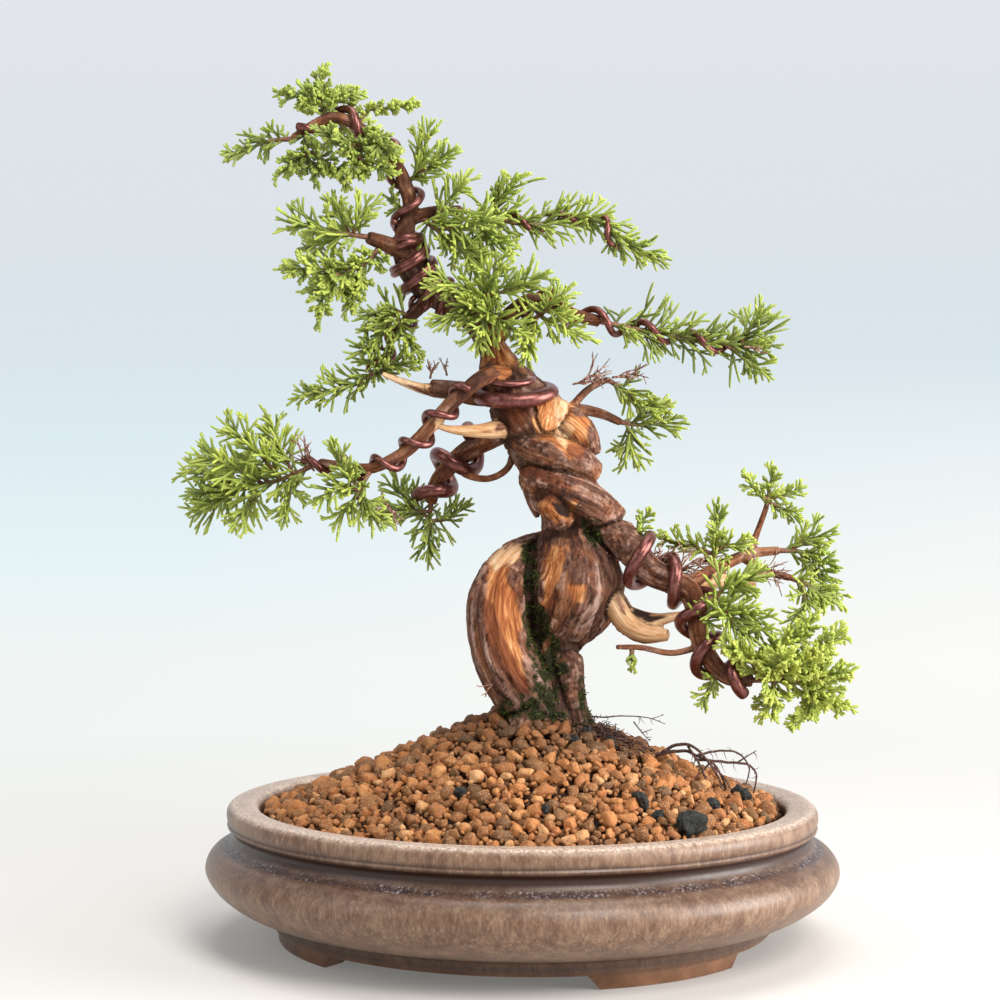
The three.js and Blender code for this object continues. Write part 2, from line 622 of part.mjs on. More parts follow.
function soil(plantBase) {
  const wall = POT_PROFILE.slice(POT_PROFILE.findIndex(([inset]) => inset === 17.6))
    .reverse()
    .map(([inset, height]) => [inset + SEAT_GAP, height === FLOOR ? height + SEAT_GAP : height]);
  const fill = ovalLathe([...wall, [wall[wall.length - 1][0], 2 * SOIL_PEAK]]);
  const [side, height] = [SCREEN.side + 1, 2 * SCREEN.thick + 3 * SEAT_GAP];
  const pockets = [-DRAIN.out, DRAIN.out].map((x) =>
    solid(new THREE.BoxGeometry(side, side, height).translate(x, 0, FLOOR)),
  );
  return mainBody(fill.intersect(granuleBlock()).subtract(union([plantBase, ...pockets])));
}

// ---------- the wood ----------
const SIDES = { trunk: 8, left_lobe: 7, leader: 6 };

function sheetPath(points) {
  return { at: points.map(seen), radii: points.map((point) => point[3]) };
}

function limb(name, grow = 0) {
  const { at, radii } = sheetPath(WOOD[name]);
  const sides = SIDES[name] ?? (radii[0] > 3.9 ? 6 : 4);
  return solid(taperedTube(at, radii, sides, 1, grow));
}

// ---------- the leaves ----------
const THIRD = (2 * Math.PI) / 3;

// A body that grows only out of its own faces, so that it stays one closed surface.
class Growth {
  constructor() {
    this.points = [];
    this.faces = new Set();
    this.boxes = new Map();
  }

  // Carries out a growth, and takes it back if it fails or its new faces run through others.
  attempt(grow) {
    const before = new Set(this.faces);
    const result = grow();
    const added = [...this.faces].filter((face) => !before.has(face)).length;
    if (result && !this.crosses(added)) return result;
    this.faces = before;
    return null;
  }

  corner(point) {
    return this.points.push(point) - 1;
  }

  add(...corners) {
    this.faces.add(corners);
    return corners;
  }

  // Three corners round a centre, counter-clockwise about `along`.
  ring(centre, along, phase, radius) {
    const [x, y] = this.axes(along);
    return [0, 1, 2].map((k) => {
      const angle = phase + k * THIRD;
      const point = centre.clone().addScaledVector(x, radius * Math.cos(angle));
      return this.corner(point.addScaledVector(y, radius * Math.sin(angle)));
    });
  }

  axes(along) {
    const x = new THREE.Vector3(0.31, 0.17, 0.93).cross(along).normalize();
    return [x, along.clone().cross(x)];
  }

  // The turn at which a new ring lines up best with three corners that are there already.
  phaseOf(ring, centre, along) {
    const [x, y] = this.axes(along);
    let [cos, sin] = [0, 0];
    ring.forEach((id, k) => {
      const arm = this.points[id].clone().sub(centre);
      const angle = Math.atan2(arm.dot(y), arm.dot(x)) - k * THIRD;
      cos += Math.cos(angle);
      sin += Math.sin(angle);
    });
    return Math.atan2(sin, cos);
  }

  wall(ring, next) {
    const sides = [];
    for (let k = 0; k < 3; k++) {
      const m = (k + 1) % 3;
      sides.push(this.add(ring[k], ring[m], next[m]), this.add(ring[k], next[m], next[k]));
    }
    return sides;
  }

  point(ring, tip) {
    const id = this.corner(tip);
    return [0, 1, 2].map((k) => this.add(ring[k], ring[(k + 1) % 3], id));
  }

  // Whether any of the faces added last runs through another face of the body.
  crosses(count) {
    const faces = [...this.faces];
    const added = faces.slice(-count);
    return added.some((face) => {
      const box = this.box(face);
      const near = faces.filter((other) => other !== face && this.box(other).intersectsBox(box));
      return near.some((other) => this.meet(face, other));
    });
  }

  box(face) {
    if (!this.boxes.has(face)) {
      this.boxes.set(face, new THREE.Box3().setFromPoints(face.map((id) => this.points[id])));
    }
    return this.boxes.get(face);
  }

  meet(face, other) {
    const cuts = (a, b) => [[0, 1], [1, 2], [2, 0]].some(([m, n]) => {
      return !b.includes(a[m]) && !b.includes(a[n]) && this.pierces(a[m], a[n], b);
    });
    return cuts(face, other) || cuts(other, face);
  }

  // Whether the line between two corners runs through a face.
  pierces(from, to, face) {
    const [start, end] = [this.points[from], this.points[to]];
    const span = end.clone().sub(start);
    const ray = new THREE.Ray(start, span.clone().normalize());
    const hit = ray.intersectTriangle(...face.map((id) => this.points[id]), false, new THREE.Vector3());
    return hit !== null && hit.distanceTo(start) < span.length();
  }

  centre(face) {
    return face.reduce((sum, id) => sum.add(this.points[id]), new THREE.Vector3()).divideScalar(3);
  }

  normal(face) {
    const [a, b, c] = face.map((id) => this.points[id]);
    return b.clone().sub(a).cross(c.clone().sub(a)).normalize();
  }

  geometry() {
    const geometry = new THREE.BufferGeometry();
    const positions = this.points.flatMap(({ x, y, z }) => [x, y, z]);
    geometry.setAttribute("position", new THREE.Float32BufferAttribute(positions, 3));
    geometry.setIndex([...this.faces].flat());
    return geometry;
  }
}

const pending = []; // twigs waiting until all of their spray's stems have grown

const barkFaces = []; // what the sprays' stems are seated on

function gapToBark(point) {
  const spot = new THREE.Vector3();
  const gaps = barkFaces
    .filter(({ middle, reach }) => middle.distanceTo(point) < reach + 4)
    .map(({ face }) => face.closestPointToPoint(point, spot).distanceTo(point));
  return Math.min(4, ...gaps);
}

function facesOf(geometry) {
  const [positions, index] = [geometry.getAttribute("position"), geometry.getIndex()];
  const corner = (i) => new THREE.Vector3().fromBufferAttribute(positions, index.getX(i));
  return Array.from({ length: index.count / 3 }, (_, i) => {
    const face = new THREE.Triangle(corner(3 * i), corner(3 * i + 1), corner(3 * i + 2));
    const middle = face.getMidpoint(new THREE.Vector3());
    return { face, middle, reach: Math.max(...[face.a, face.b, face.c].map((p) => p.distanceTo(middle))) };
  });
}

// Whether the end of a stem could stand at a point of its curve, off the bark and off the wires.
function isSeat(owner, point, along) {
  const side = new THREE.Vector3(0.31, 0.17, 0.93).cross(along).setLength(STEM_RADIUS);
  const edge = [0, 60, 120, 180, 240, 300].map((turn) => side.clone().applyAxisAngle(along, rounds(turn)));
  return (
    [new THREE.Vector3(), ...edge].every((arm) => gapToBark(arm.add(point)) > SEAT_GAP) &&
    isClear(owner, point, point.clone().addScaledVector(along, 0.1), STEM_RADIUS, SEAT_GAP, "wood")
  );
}

// Points along the longest stretch of a stem that clears everything else, back to its seat.
function clearStem(owner, curve, isFirst) {
  const count = Math.ceil(curve.getLength() / 0.15);
  const samples = curve.getSpacedPoints(count);
  let best = [0, 0];
  let from = 0;
  for (let i = 1; i < samples.length; i++) {
    if (!isClear(owner, samples[i - 1], samples[i], STEM_RADIUS, SEAT_GAP)) from = i;
    else if (i - from > best[1] - best[0]) best = [from, i];
  }
  let [first, last] = best;
  const isBehindFree = () => isSeat(owner, samples[first - 1], curve.getTangentAt((first - 1) / count));
  while (isFirst && first > 0 && isBehindFree()) first -= 1;
  return samples.filter((_, i) => i === last || (i >= first && i < last - 10 && (i - first) % 20 === 0));
}

function leafySpray(name, { reach, stems }, seed) {
  const random = stream(seed);
  const body = new Growth();
  const bark = []; // faces of the stems that nothing grows from yet
  const longest = ([a, b, c]) => {
    const [p, q, r] = [body.points[a], body.points[b], body.points[c]];
    return Math.max(p.distanceTo(q), q.distanceTo(r), r.distanceTo(p));
  };
  // The best placed faces that look towards a direction.
  const facesTowards = (near, direction) => {
    const fit = (face) => {
      const turned = 5 * (1 - body.normal(face).dot(direction));
      return body.centre(face).distanceTo(near) + turned + 0.6 * longest(face);
    };
    const facing = bark.filter((side) => body.normal(side).dot(direction) > 0.25 && fit(side) < 13);
    return facing.sort((a, b) => fit(a) - fit(b)).slice(0, 4);
  };

  // Whether what grows out of a face to a point clears the other nodes.
  const isReachable = (face, point) =>
    face.every((corner) => isClear(name, body.points[corner], point, 0.4, SEAT_GAP));

  // A needle out of a side of a twig: the side's two faces become the needle's four.
  const needle = (first, second, from, direction, twig) => {
    const [a, b, m] = first;
    const n = second[2];
    const [low, high] = [body.points[a], body.points[m]];
    const root = low.clone().add(high).add(body.points[b]).add(body.points[n]).divideScalar(4);
    const out = root.clone().sub(from);
    out.addScaledVector(direction, -out.dot(direction)).normalize();
    out.addScaledVector(direction, 1.1 + 0.5 * random()).normalize();
    const tip = root.clone().addScaledVector(out, 5 + 2.6 * random());
    if (!isClear(name, root, tip, 0.6, SEAT_GAP) || !isApart(name, twig, root, tip, 0.6)) return;
    const grown = body.attempt(() => {
      const id = body.corner(tip);
      [first, second].forEach((side) => body.faces.delete(side));
      [[a, b], [b, m], [m, n], [n, a]].forEach(([p, q]) => body.add(p, q, id));
      return true;
    });
    if (grown) claim(name, [root, tip], [0.6, 0.6], twig);
  };

  const twig = (face, direction, length, id) => {
    const from = body.centre(face);
    const at = (far) => from.clone().addScaledVector(direction, far);
    const whorls = [];
    const grown = body.attempt(() => {
      let ring = face;
      let phase = body.phaseOf(face, from, direction);
      body.faces.delete(face);
      const start = length > 5 ? 0.34 : 0.3;
      for (let k = 0; k <= (length > 5 ? 2 : 1); k++) {
        const next = body.ring(at(start * length + k * 1.7), direction, phase, NEEDLE);
        const sides = body.wall(ring, next);
        if (k) whorls.push({ sides, middle: at(start * length + (k - 0.5) * 1.7) });
        ring = next;
        phase += 0.4;
      }
      return body.point(ring, at(length));
    });
    if (!grown) return false;
    bark.splice(bark.indexOf(face), 1);
    claim(name, [from, at(length)], [0.8, 0.8], id);
    for (const { sides, middle } of whorls) {
      for (let k = 0; k < 6; k += 2) needle(sides[k], sides[k + 1], middle, direction, id);
    }
    return true;
  };

  // Grows a twig in the first of some directions that has room for it.
  const sprout = (near, directions, size, id) =>
    directions.some((direction) =>
      [size, 0.7 * size].some((length) =>
        facesTowards(near, direction).some((face) => {
          const from = body.centre(face);
          const [low, high] = [2, length].map((far) => from.clone().addScaledVector(direction, far));
          if (!isReachable(face, low) || !isClear(name, from, high, 0.8, SEAT_GAP)) return false;
          return isApart(name, id, low, high, 0.7) && twig(face, direction, length, id);
        }),
      ),
    );

  const stemAlong = (curve, order, nodes) => {
    const length = curve.getLength();
    const widths = (u) => THREE.MathUtils.lerp(order ? 0.95 : STEM_RADIUS, 0.72, u);
    const [start, direction] = [curve.getPointAt(0), curve.getTangentAt(0)];
    const grow = (face) => {
      const walls = [];
      let middle = start;
      let ring;
      if (face) {
        const from = body.centre(face);
        const out = body.normal(face).add(direction).normalize();
        middle = from.clone().addScaledVector(out, 1.3);
        body.faces.delete(face);
        ring = body.ring(middle, out, body.phaseOf(face, from, out), widths(0));
        body.wall(face, ring);
      } else {
        ring = body.ring(start, direction, 6 * random(), widths(0));
        body.add(ring[0], ring[2], ring[1]);
      }
      for (const u of nodes) {
        for (const [part, twist] of [[u, 0.5], [Math.min(0.98, u + 1.5 / length), 0]]) {
          const along = curve.getTangentAt(part);
          const phase = body.phaseOf(ring, middle, along) + twist;
          middle = curve.getPointAt(part);
          const next = body.ring(middle, along, phase, widths(part));
          walls.push(...body.wall(ring, next));
          ring = next;
        }
      }
      body.point(ring, curve.getPointAt(1));
      return walls;
    };
    let walls = null;
    for (let trial = 0; order === 0 && !walls && trial < 6; trial++) walls = body.attempt(() => grow(null));
    for (const face of order ? facesTowards(start, direction) : []) {
      if (walls || !isReachable(face, start)) continue;
      if (!isClear(name, body.centre(face), start, 0.9, SEAT_GAP)) continue;
      walls = body.attempt(() => grow(face));
      if (walls) bark.splice(bark.indexOf(face), 1);
    }
    if (!walls) return false;
    bark.push(...walls);
    const marks = [0, 0.25, 0.5, 0.75, 1];
    claim(name, marks.map((u) => curve.getPointAt(u)), marks.map(widths), `stem ${order}`);
    return true;
  };

  stems.forEach((stem, order) => {
    const whole = new THREE.CatmullRomCurve3(stem.map(seen), false, "centripetal");
    const free = clearStem(name, whole, order === 0);
    if (free.length < 2) return;
    const curve = new THREE.CatmullRomCurve3(free, false, "centripetal");
    const count = Math.max(1, Math.round(curve.getLength() / NODE_PITCH));
    const spots = Array.from({ length: count }, (_, j) => (j + (count > 1 ? 0.5 : 0.6)) / count);
    if (!stemAlong(curve, order, spots)) return;
    for (const u of spots) {
      const tangent = curve.getTangentAt(u);
      const side = new THREE.Vector3().crossVectors(tangent, new THREE.Vector3(0.1, 0.2, 1)).normalize();
      const lift = new THREE.Vector3().crossVectors(side, tangent).normalize();
      const start = 6 * random();
      const count = stems.length === 1 && u === spots[spots.length - 1] ? 3 : 2;
      for (let k = 0; k < count; k++) {
        const forward = 0.4 + 0.5 * u + 0.2 * random();
        const turn = start + (k * 2 * Math.PI) / count + 0.5 * random();
        const directions = [0, 0.6, -0.6, 1.2, -1.2].map((aside) => {
          const out = side.clone().multiplyScalar(Math.cos(turn + aside));
          out.addScaledVector(lift, Math.sin(turn + aside));
          return out.addScaledVector(tangent, forward).normalize();
        });
        const size = reach * (0.75 + 0.4 * random());
        pending.push([curve.getPointAt(u), directions, size, `${order} ${u} ${k}`]);
      }
    }
  });
  pending.splice(0).forEach((each) => sprout(...each));
  return mainBody(solid(body.geometry()));
}

// ---------- the wires ----------
// Points of a coil round a host path of [across, up, deep, radius]. Each winding is a stretch of
// the host, from and to as parts of its length, with the turns made along it.
function coil(host, radius, slack, phase, windings) {
  const { at, radii } = sheetPath(host);
  const curve = new THREE.CatmullRomCurve3(at, false, "centripetal");
  const grid = 240;
  const frames = curve.computeFrenetFrames(grid, false);
  const points = [];
  let angle = phase;
  windings.forEach(([from, to, turns], order) => {
    const count = Math.ceil(turns * COIL_STEPS);
    for (let i = order ? 1 : 0; i <= count; i++) {
      const u = THREE.MathUtils.lerp(from, to, i / count);
      const t = curve.getUtoTmapping(u) * (at.length - 1);
      const k = Math.min(Math.floor(t), at.length - 2);
      const away = THREE.MathUtils.lerp(radii[k], radii[k + 1], t - k) + radius + SEAT_GAP + 0.3 + slack;
      const turn = angle + (2 * Math.PI * turns * i) / count;
      const g = Math.round(u * grid);
      const point = curve.getPointAt(u).addScaledVector(frames.normals[g], away * Math.cos(turn));
      points.push(point.addScaledVector(frames.binormals[g], away * Math.sin(turn)));
    }
    angle += 2 * Math.PI * turns;
  });
  return points;
}

// The thick wire that grips the trunk from the front: [across, up, deep].
const TRUNK_GRIP = [
  [5, 182.6, 6], [9.4, 181.6, 0], [9.6, 180.4, -6.6], [5, 178.8, -11.6], [-1.6, 178, -13.2],
  [-8, 178.2, -12.2], [-13, 179.2, -7.2], [-14.4, 181.4, -0.8], [-12.4, 184, 5.4], [-7, 186, 9.4],
];

const wood = (name) => WOOD[name];
const leafy = (name) => SPRAYS[name].stems[0].map((point) => [...point, STEM_RADIUS]);
const along = (name, spray) => [...WOOD[name], ...leafy(spray).slice(1)];
const WIRES = {
  wire_low_limb: { radius: 2.1, path: coil(wood("low_limb"), 2.1, 0.9, 1.2, [[0.14, 0.97, 5]]) },
  wire_left_limb: {
    radius: 1.25,
    path: coil(along("left_limb", "left_pad"), 1.25, 0.1, 1.78, [[0.165, 0.7, 5.43]]),
  },
  wire_back_left_limb: {
    radius: 2.4,
    path: coil(wood("back_left_limb"), 2.4, 1.2, 0.5, [[0.3, 0.95, 2.1]]),
  },
  wire_trunk: { radius: 2.6, path: TRUNK_GRIP.map(seen) },
  wire_leader: {
    radius: 1.35,
    path: coil(wood("leader"), 1.35, 0.8, 0.7, [[0.22, 0.44, 4.4], [0.44, 0.97, 3.6]]),
  },
  wire_long_limb: {
    radius: 1.2,
    path: coil(along("long_limb", "long_limb"), 1.2, 0.8, 1, [[0.14, 0.88, 4.4]]),
  },
  wire_top_right: {
    radius: 1,
    path: coil(along("top_right_limb", "top_right"), 1, 0.5, 1, [[0.36, 0.88, 3]]),
  },
  wire_mid_left: {
    radius: 1,
    path: coil(along("mid_left_limb", "mid_left"), 1, 0.5, 1, [[0.1, 0.6, 2.2]]),
  },
};

// ---------- assembly ----------
const MATERIALS = {
  glaze: new THREE.MeshStandardMaterial({ color: 0x6f5547, roughness: 0.42, metalness: 0.05 }),
  netting: new THREE.MeshStandardMaterial({ color: 0x2d2f2e, roughness: 0.7, metalness: 0 }),
  granules: new THREE.MeshStandardMaterial({ color: 0xa0673c, roughness: 0.95, metalness: 0 }),
  bark: new THREE.MeshStandardMaterial({ color: 0x7a5440, roughness: 0.85, metalness: 0 }),
  foliage: new THREE.MeshStandardMaterial({ color: 0x6f9638, roughness: 0.6, metalness: 0 }),
  wire: new THREE.MeshStandardMaterial({ color: 0x6d3a36, roughness: 0.3, metalness: 0.85 }),
};

const bonsai = new THREE.Group();

function add(name, manifold, material) {
  const mesh = new THREE.Mesh(geometryOf(manifold), material);
  mesh.name = name;
  bonsai.add(mesh);
}

const ROOTED = ["trunk", "left_lobe", "right_root", "front_root", "back_root", "left_root"];
const plantBase = union(ROOTED.map((name) => limb(name, SEAT_GAP)));

add("pot", pot(), MATERIALS.glaze);
add("drain_screen_left", drainScreen(-DRAIN.out), MATERIALS.netting);
add("drain_screen_right", drainScreen(DRAIN.out), MATERIALS.netting);
add("soil", soil(plantBase), MATERIALS.granules);

for (const name of Object.keys(WOOD)) {
  const { at, radii } = sheetPath(WOOD[name]);
  claim("wood", at, radii);
}
const wireTubes = Object.entries(WIRES).map(([name, { radius, path }]) => {
  const widths = path.map(() => radius);
  claim(name, path, widths);
  const sides = radius < 1.5 ? WIRE_SIDES - 1 : WIRE_SIDES;
  const tube = (grow) => solid(taperedTube(path, widths, sides, 1, grow));
  return { name, tube: tube(0), bite: tube(SEAT_GAP) };
});

const grown = union(Object.keys(WOOD).map((name) => limb(name)));
const tree = mainBody(grown.subtract(union(wireTubes.map(({ bite }) => bite))));
add("trunk_and_limbs", tree, MATERIALS.bark);
barkFaces.push(...facesOf(geometryOf(tree)));
for (const { name, tube } of wireTubes) add(name, tube, MATERIALS.wire);

Object.entries(SPRAYS).forEach(([name, spray], i) => {
  add(`foliage_${name}`, leafySpray(`foliage_${name}`, spray, 101 + i), MATERIALS.foliage);
});

export default bonsai;
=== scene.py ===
import math

import bpy
import numpy as np
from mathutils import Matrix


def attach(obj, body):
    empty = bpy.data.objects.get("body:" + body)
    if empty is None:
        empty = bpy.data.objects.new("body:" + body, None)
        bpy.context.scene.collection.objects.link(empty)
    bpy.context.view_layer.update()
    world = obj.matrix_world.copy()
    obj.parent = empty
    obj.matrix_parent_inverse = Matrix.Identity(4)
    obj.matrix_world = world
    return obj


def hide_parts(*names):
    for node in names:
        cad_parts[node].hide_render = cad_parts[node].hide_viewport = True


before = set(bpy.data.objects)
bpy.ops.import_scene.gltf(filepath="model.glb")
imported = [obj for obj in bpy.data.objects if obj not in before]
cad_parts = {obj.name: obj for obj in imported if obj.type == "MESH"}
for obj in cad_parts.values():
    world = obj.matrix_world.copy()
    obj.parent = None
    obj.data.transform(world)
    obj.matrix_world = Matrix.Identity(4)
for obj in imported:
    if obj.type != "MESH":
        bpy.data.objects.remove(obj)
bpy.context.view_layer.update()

MM = 0.001
# The tree is laid out on an upright sheet, turned from the pot's front and looked at from the eye.
TURN = math.radians(18)
COS, SIN = math.cos(TURN), math.sin(TURN)
EYE = np.array([-7.0, -700.0, 155.0])
EYE_AT = np.array([EYE[0] * COS - EYE[1] * SIN, EYE[0] * SIN + EYE[1] * COS, EYE[2]])

# The pot's half length and half width, and the height of its underside.
POT_LONG, POT_SHORT = 105.0, 100.0
UNDER = 4.5
# The soil's height at the wall and at its peak, and where the peak is.
SOIL_EDGE, SOIL_PEAK = 42.0, 78.6
PEAK_AT = (2.0, 1.0)
SEEDS = {"soil": 21, "roots": 5, "tangle": 8, "charcoal": 9, "moss": 10, "dry_twigs": 13, "sprays": 300}

# The trunk and its limbs: [across, up, deep, radius] of points on the upright sheet.
WOOD = {
    "trunk": [
        [8, 57, 0, 15], [8, 68, 0, 14.2], [8.4, 77, 1, 12], [9.2, 86, 2, 9.6], [9.4, 94, 3, 9],
        [11, 101, 3, 11.4], [14.4, 109, 2, 15.6], [17.2, 117.4, 1, 17.2], [17, 127, 1, 13.8],
        [15.4, 134, 1, 8.6], [17, 141, 1, 12], [13.6, 148.6, 1, 12.2], [10.6, 157, 1, 11.6],
        [7.4, 165, 1, 12.6], [2.6, 173, 0, 12.6], [-3, 181, 0, 9.4], [-7, 188.6, 0, 7], [-9.8, 197, 1, 5.5],
    ],
    "leader": [
        [-9, 194, 1, 5.6], [-11.6, 201, 2, 5.2], [-17, 207, 4, 4.8], [-24, 211, 5, 4.6],
        [-31, 215.6, 4, 4.8], [-36, 223, 2, 5.2], [-38.6, 230, 0, 4.2], [-38.2, 236, 0, 2.8],
        [-36.8, 243, 0, 2.5], [-38.6, 250, 1, 2.4], [-41.4, 256.6, 2, 2.2], [-46, 263, 2, 2],
        [-53, 268.6, 1, 1.9], [-62, 272.6, 0, 1.9], [-69.6, 269.6, -1, 1.8], [-76, 265.4, -1, 1.5],
    ],
    "left_lobe": [
        [9, 71, -2, 10], [2.6, 79, -5, 10.2], [-4.4, 90, -7, 10.3], [-7.8, 101, -7, 10],
        [-7.8, 111.6, -5, 9.8], [-4, 120.6, 0, 8.6], [2, 125, 7, 7.8], [9, 127.4, 14, 8],
        [17, 130, 17, 8.4], [24, 134.6, 12, 8.6], [27, 140.6, 5, 7.6],
    ],
    "low_coil": [
        [31, 137.6, -3, 5.6], [23, 143.6, -7.6, 6.6], [13.6, 148, -9, 6.8], [5.6, 151.4, -7, 6],
        [3.4, 155.6, 0, 4.4],
    ],
    "high_coil": [
        [24, 153.6, -2, 4.8], [18, 157.6, -6, 6.2], [10.6, 161, -8, 7], [3, 163.8, -6.6, 6],
        [-4, 167.6, 0, 4.4],
    ],
    "top_ridge": [[22.4, 160, 1, 4.6], [19.6, 167, -2, 5.8], [13.6, 172, -4.4, 6.2], [7, 175.6, -4, 5.6]],
    "sawn_stub": [
        [5, 163.4, -6, 2.2], [7, 168.2, -7.4, 3.8], [9.4, 173.6, -8.8, 5.4], [11, 178.8, -9.8, 6.4],
    ],
    "torn_stub": [[14, 139.6, -6, 6.6], [11, 142.6, -10.6, 5.4], [7.4, 145, -13.6, 3.6]],
    "right_root": [
        [12.6, 98, 0, 5.4], [15.2, 92, -3.4, 5.4], [16.2, 83.6, -5, 5], [17, 75.6, -4.6, 5.2],
        [19, 65, -3, 7],
    ],
    "front_root": [[6, 78, -8, 6], [1, 70, -11, 5], [-2, 61, -12, 4.6]],
    "back_root": [[8, 80, 6, 6], [12, 72, 14, 5.6], [18, 63, 21, 4.8]],
    "left_root": [[0, 80, 1, 7], [-5, 71, 3, 5.4], [-11, 61, 5, 4.4]],
    "low_limb": [
        [24, 137, 0, 7], [31.6, 134, -5, 5.8], [37, 128, -8.6, 5.1], [43, 121.4, -10, 4.7],
        [50, 118, -10, 4.3], [56, 114.6, -10, 3.9], [58.8, 107.6, -11, 3.6], [59.6, 99.6, -13, 3.3],
        [63, 92, -16, 3], [69, 86, -19, 2.6], [77, 85, -21, 2.2],
    ],
    "low_limb_back": [
        [54, 116, -8, 3], [60, 119, -3, 2.6], [67, 123, 1, 2.2], [76, 127, 5, 1.8], [86, 128.2, 8, 1.4],
    ],
    "low_limb_side": [[74, 126, 4, 1.8], [81, 121.6, 3, 1.5], [90, 119, 2, 1.2]],
    "low_limb_riser": [[76, 127, 5, 1.4], [79, 135, 7, 1.1], [81.6, 142, 8, 1]],
    "pale_stub": [[58, 117.6, -4, 2.8], [67, 118, 2, 2.8], [77.6, 116, 5, 2.6]],
    "fork_jin": [
        [26, 116, 0, 5], [31.6, 110, -6, 4.7], [35.4, 104.4, -9, 4.4], [41, 100.6, -11, 3.4],
        [49, 100, -13, 2.2],
    ],
    "fork_prong": [[34.6, 106.6, -8, 3.8], [44, 105, -10, 2.6], [54, 106.8, -12, 1.3]],
    "hanging_twig": [[60.6, 96.4, -13, 1.2], [50.4, 94, -15, 1.1], [40, 95.8, -16, 1], [32, 96, -17, 0.9]],
    "left_limb": [
        [-2, 186, -3, 3.4], [-9.4, 187, -9, 3], [-14, 185, -12, 2.7], [-18.8, 181, -13, 2.5],
        [-23.6, 177, -13, 2.4], [-28.4, 171.6, -13, 2.3], [-33.4, 166, -13, 2.3], [-38.4, 161.2, -12, 2.2],
        [-44, 158, -11, 2], [-50, 155.6, -10, 1.8], [-60, 156.4, -8, 1.6], [-67, 157.6, -6, 1.4],
    ],
    "back_left_limb": [
        [-4, 169, 3, 4.6], [-10.4, 165.6, 8, 4], [-18, 161.2, 12, 3.5], [-24.2, 156, 14, 3],
        [-28.6, 150, 15, 2.5], [-30, 144, 16, 2],
    ],
    "loop_twig": [
        [-23, 157.4, 12, 1.5], [-17.6, 153.2, 8, 1.3], [-10.4, 152.2, 6, 1.2], [-4.4, 155.6, 5, 1.2],
        [-2.6, 161, 3, 1.2],
    ],
    "left_stub": [[-4, 180, 0, 4.6], [-13.6, 180, -1, 3.8], [-22, 181.4, -4, 3.4], [-30, 182.2, -6, 3]],
    "left_splinter": [[-26, 181, -5, 2.6], [-34, 182.4, -7, 1.8], [-46, 187, -9, 0.9]],
    "left_jin": [[-4, 169, -5, 3.6], [-14, 168, -10, 2.5], [-22, 168.4, -12, 1.6], [-27, 169.2, -13, 0.9]],
    "mid_left_limb": [[-29, 213.6, 3, 2.8], [-37, 206, 2, 2.1], [-42.4, 199, 1, 1.7]],
    "upper_left_limb": [[-37, 227, 0, 3.4], [-45, 230.4, -5, 2.8], [-51, 232.6, -8, 2.1]],
    "top_right_limb": [[-37.6, 238.6, 0, 2.5], [-29, 241, 2, 2], [-20, 241.6, 3, 1.6]],
    "long_limb": [
        [-9, 198, 1, 4], [-4, 206, -3, 2.9], [3, 211.4, -4, 2.4], [9.8, 210.4, -3, 2.4],
        [18, 206.6, 0, 2.2], [26, 204.6, 2, 2],
    ],
    "right_back_limb": [[8, 173, 3, 4], [16, 175.2, 12, 2.1], [26, 174, 20, 1.8], [33, 171, 24, 1.4]],
    "right_back_twig": [[16, 175, 11, 1.5], [22.6, 182, 14, 1.3], [28.8, 185.2, 17, 1.1]],
}
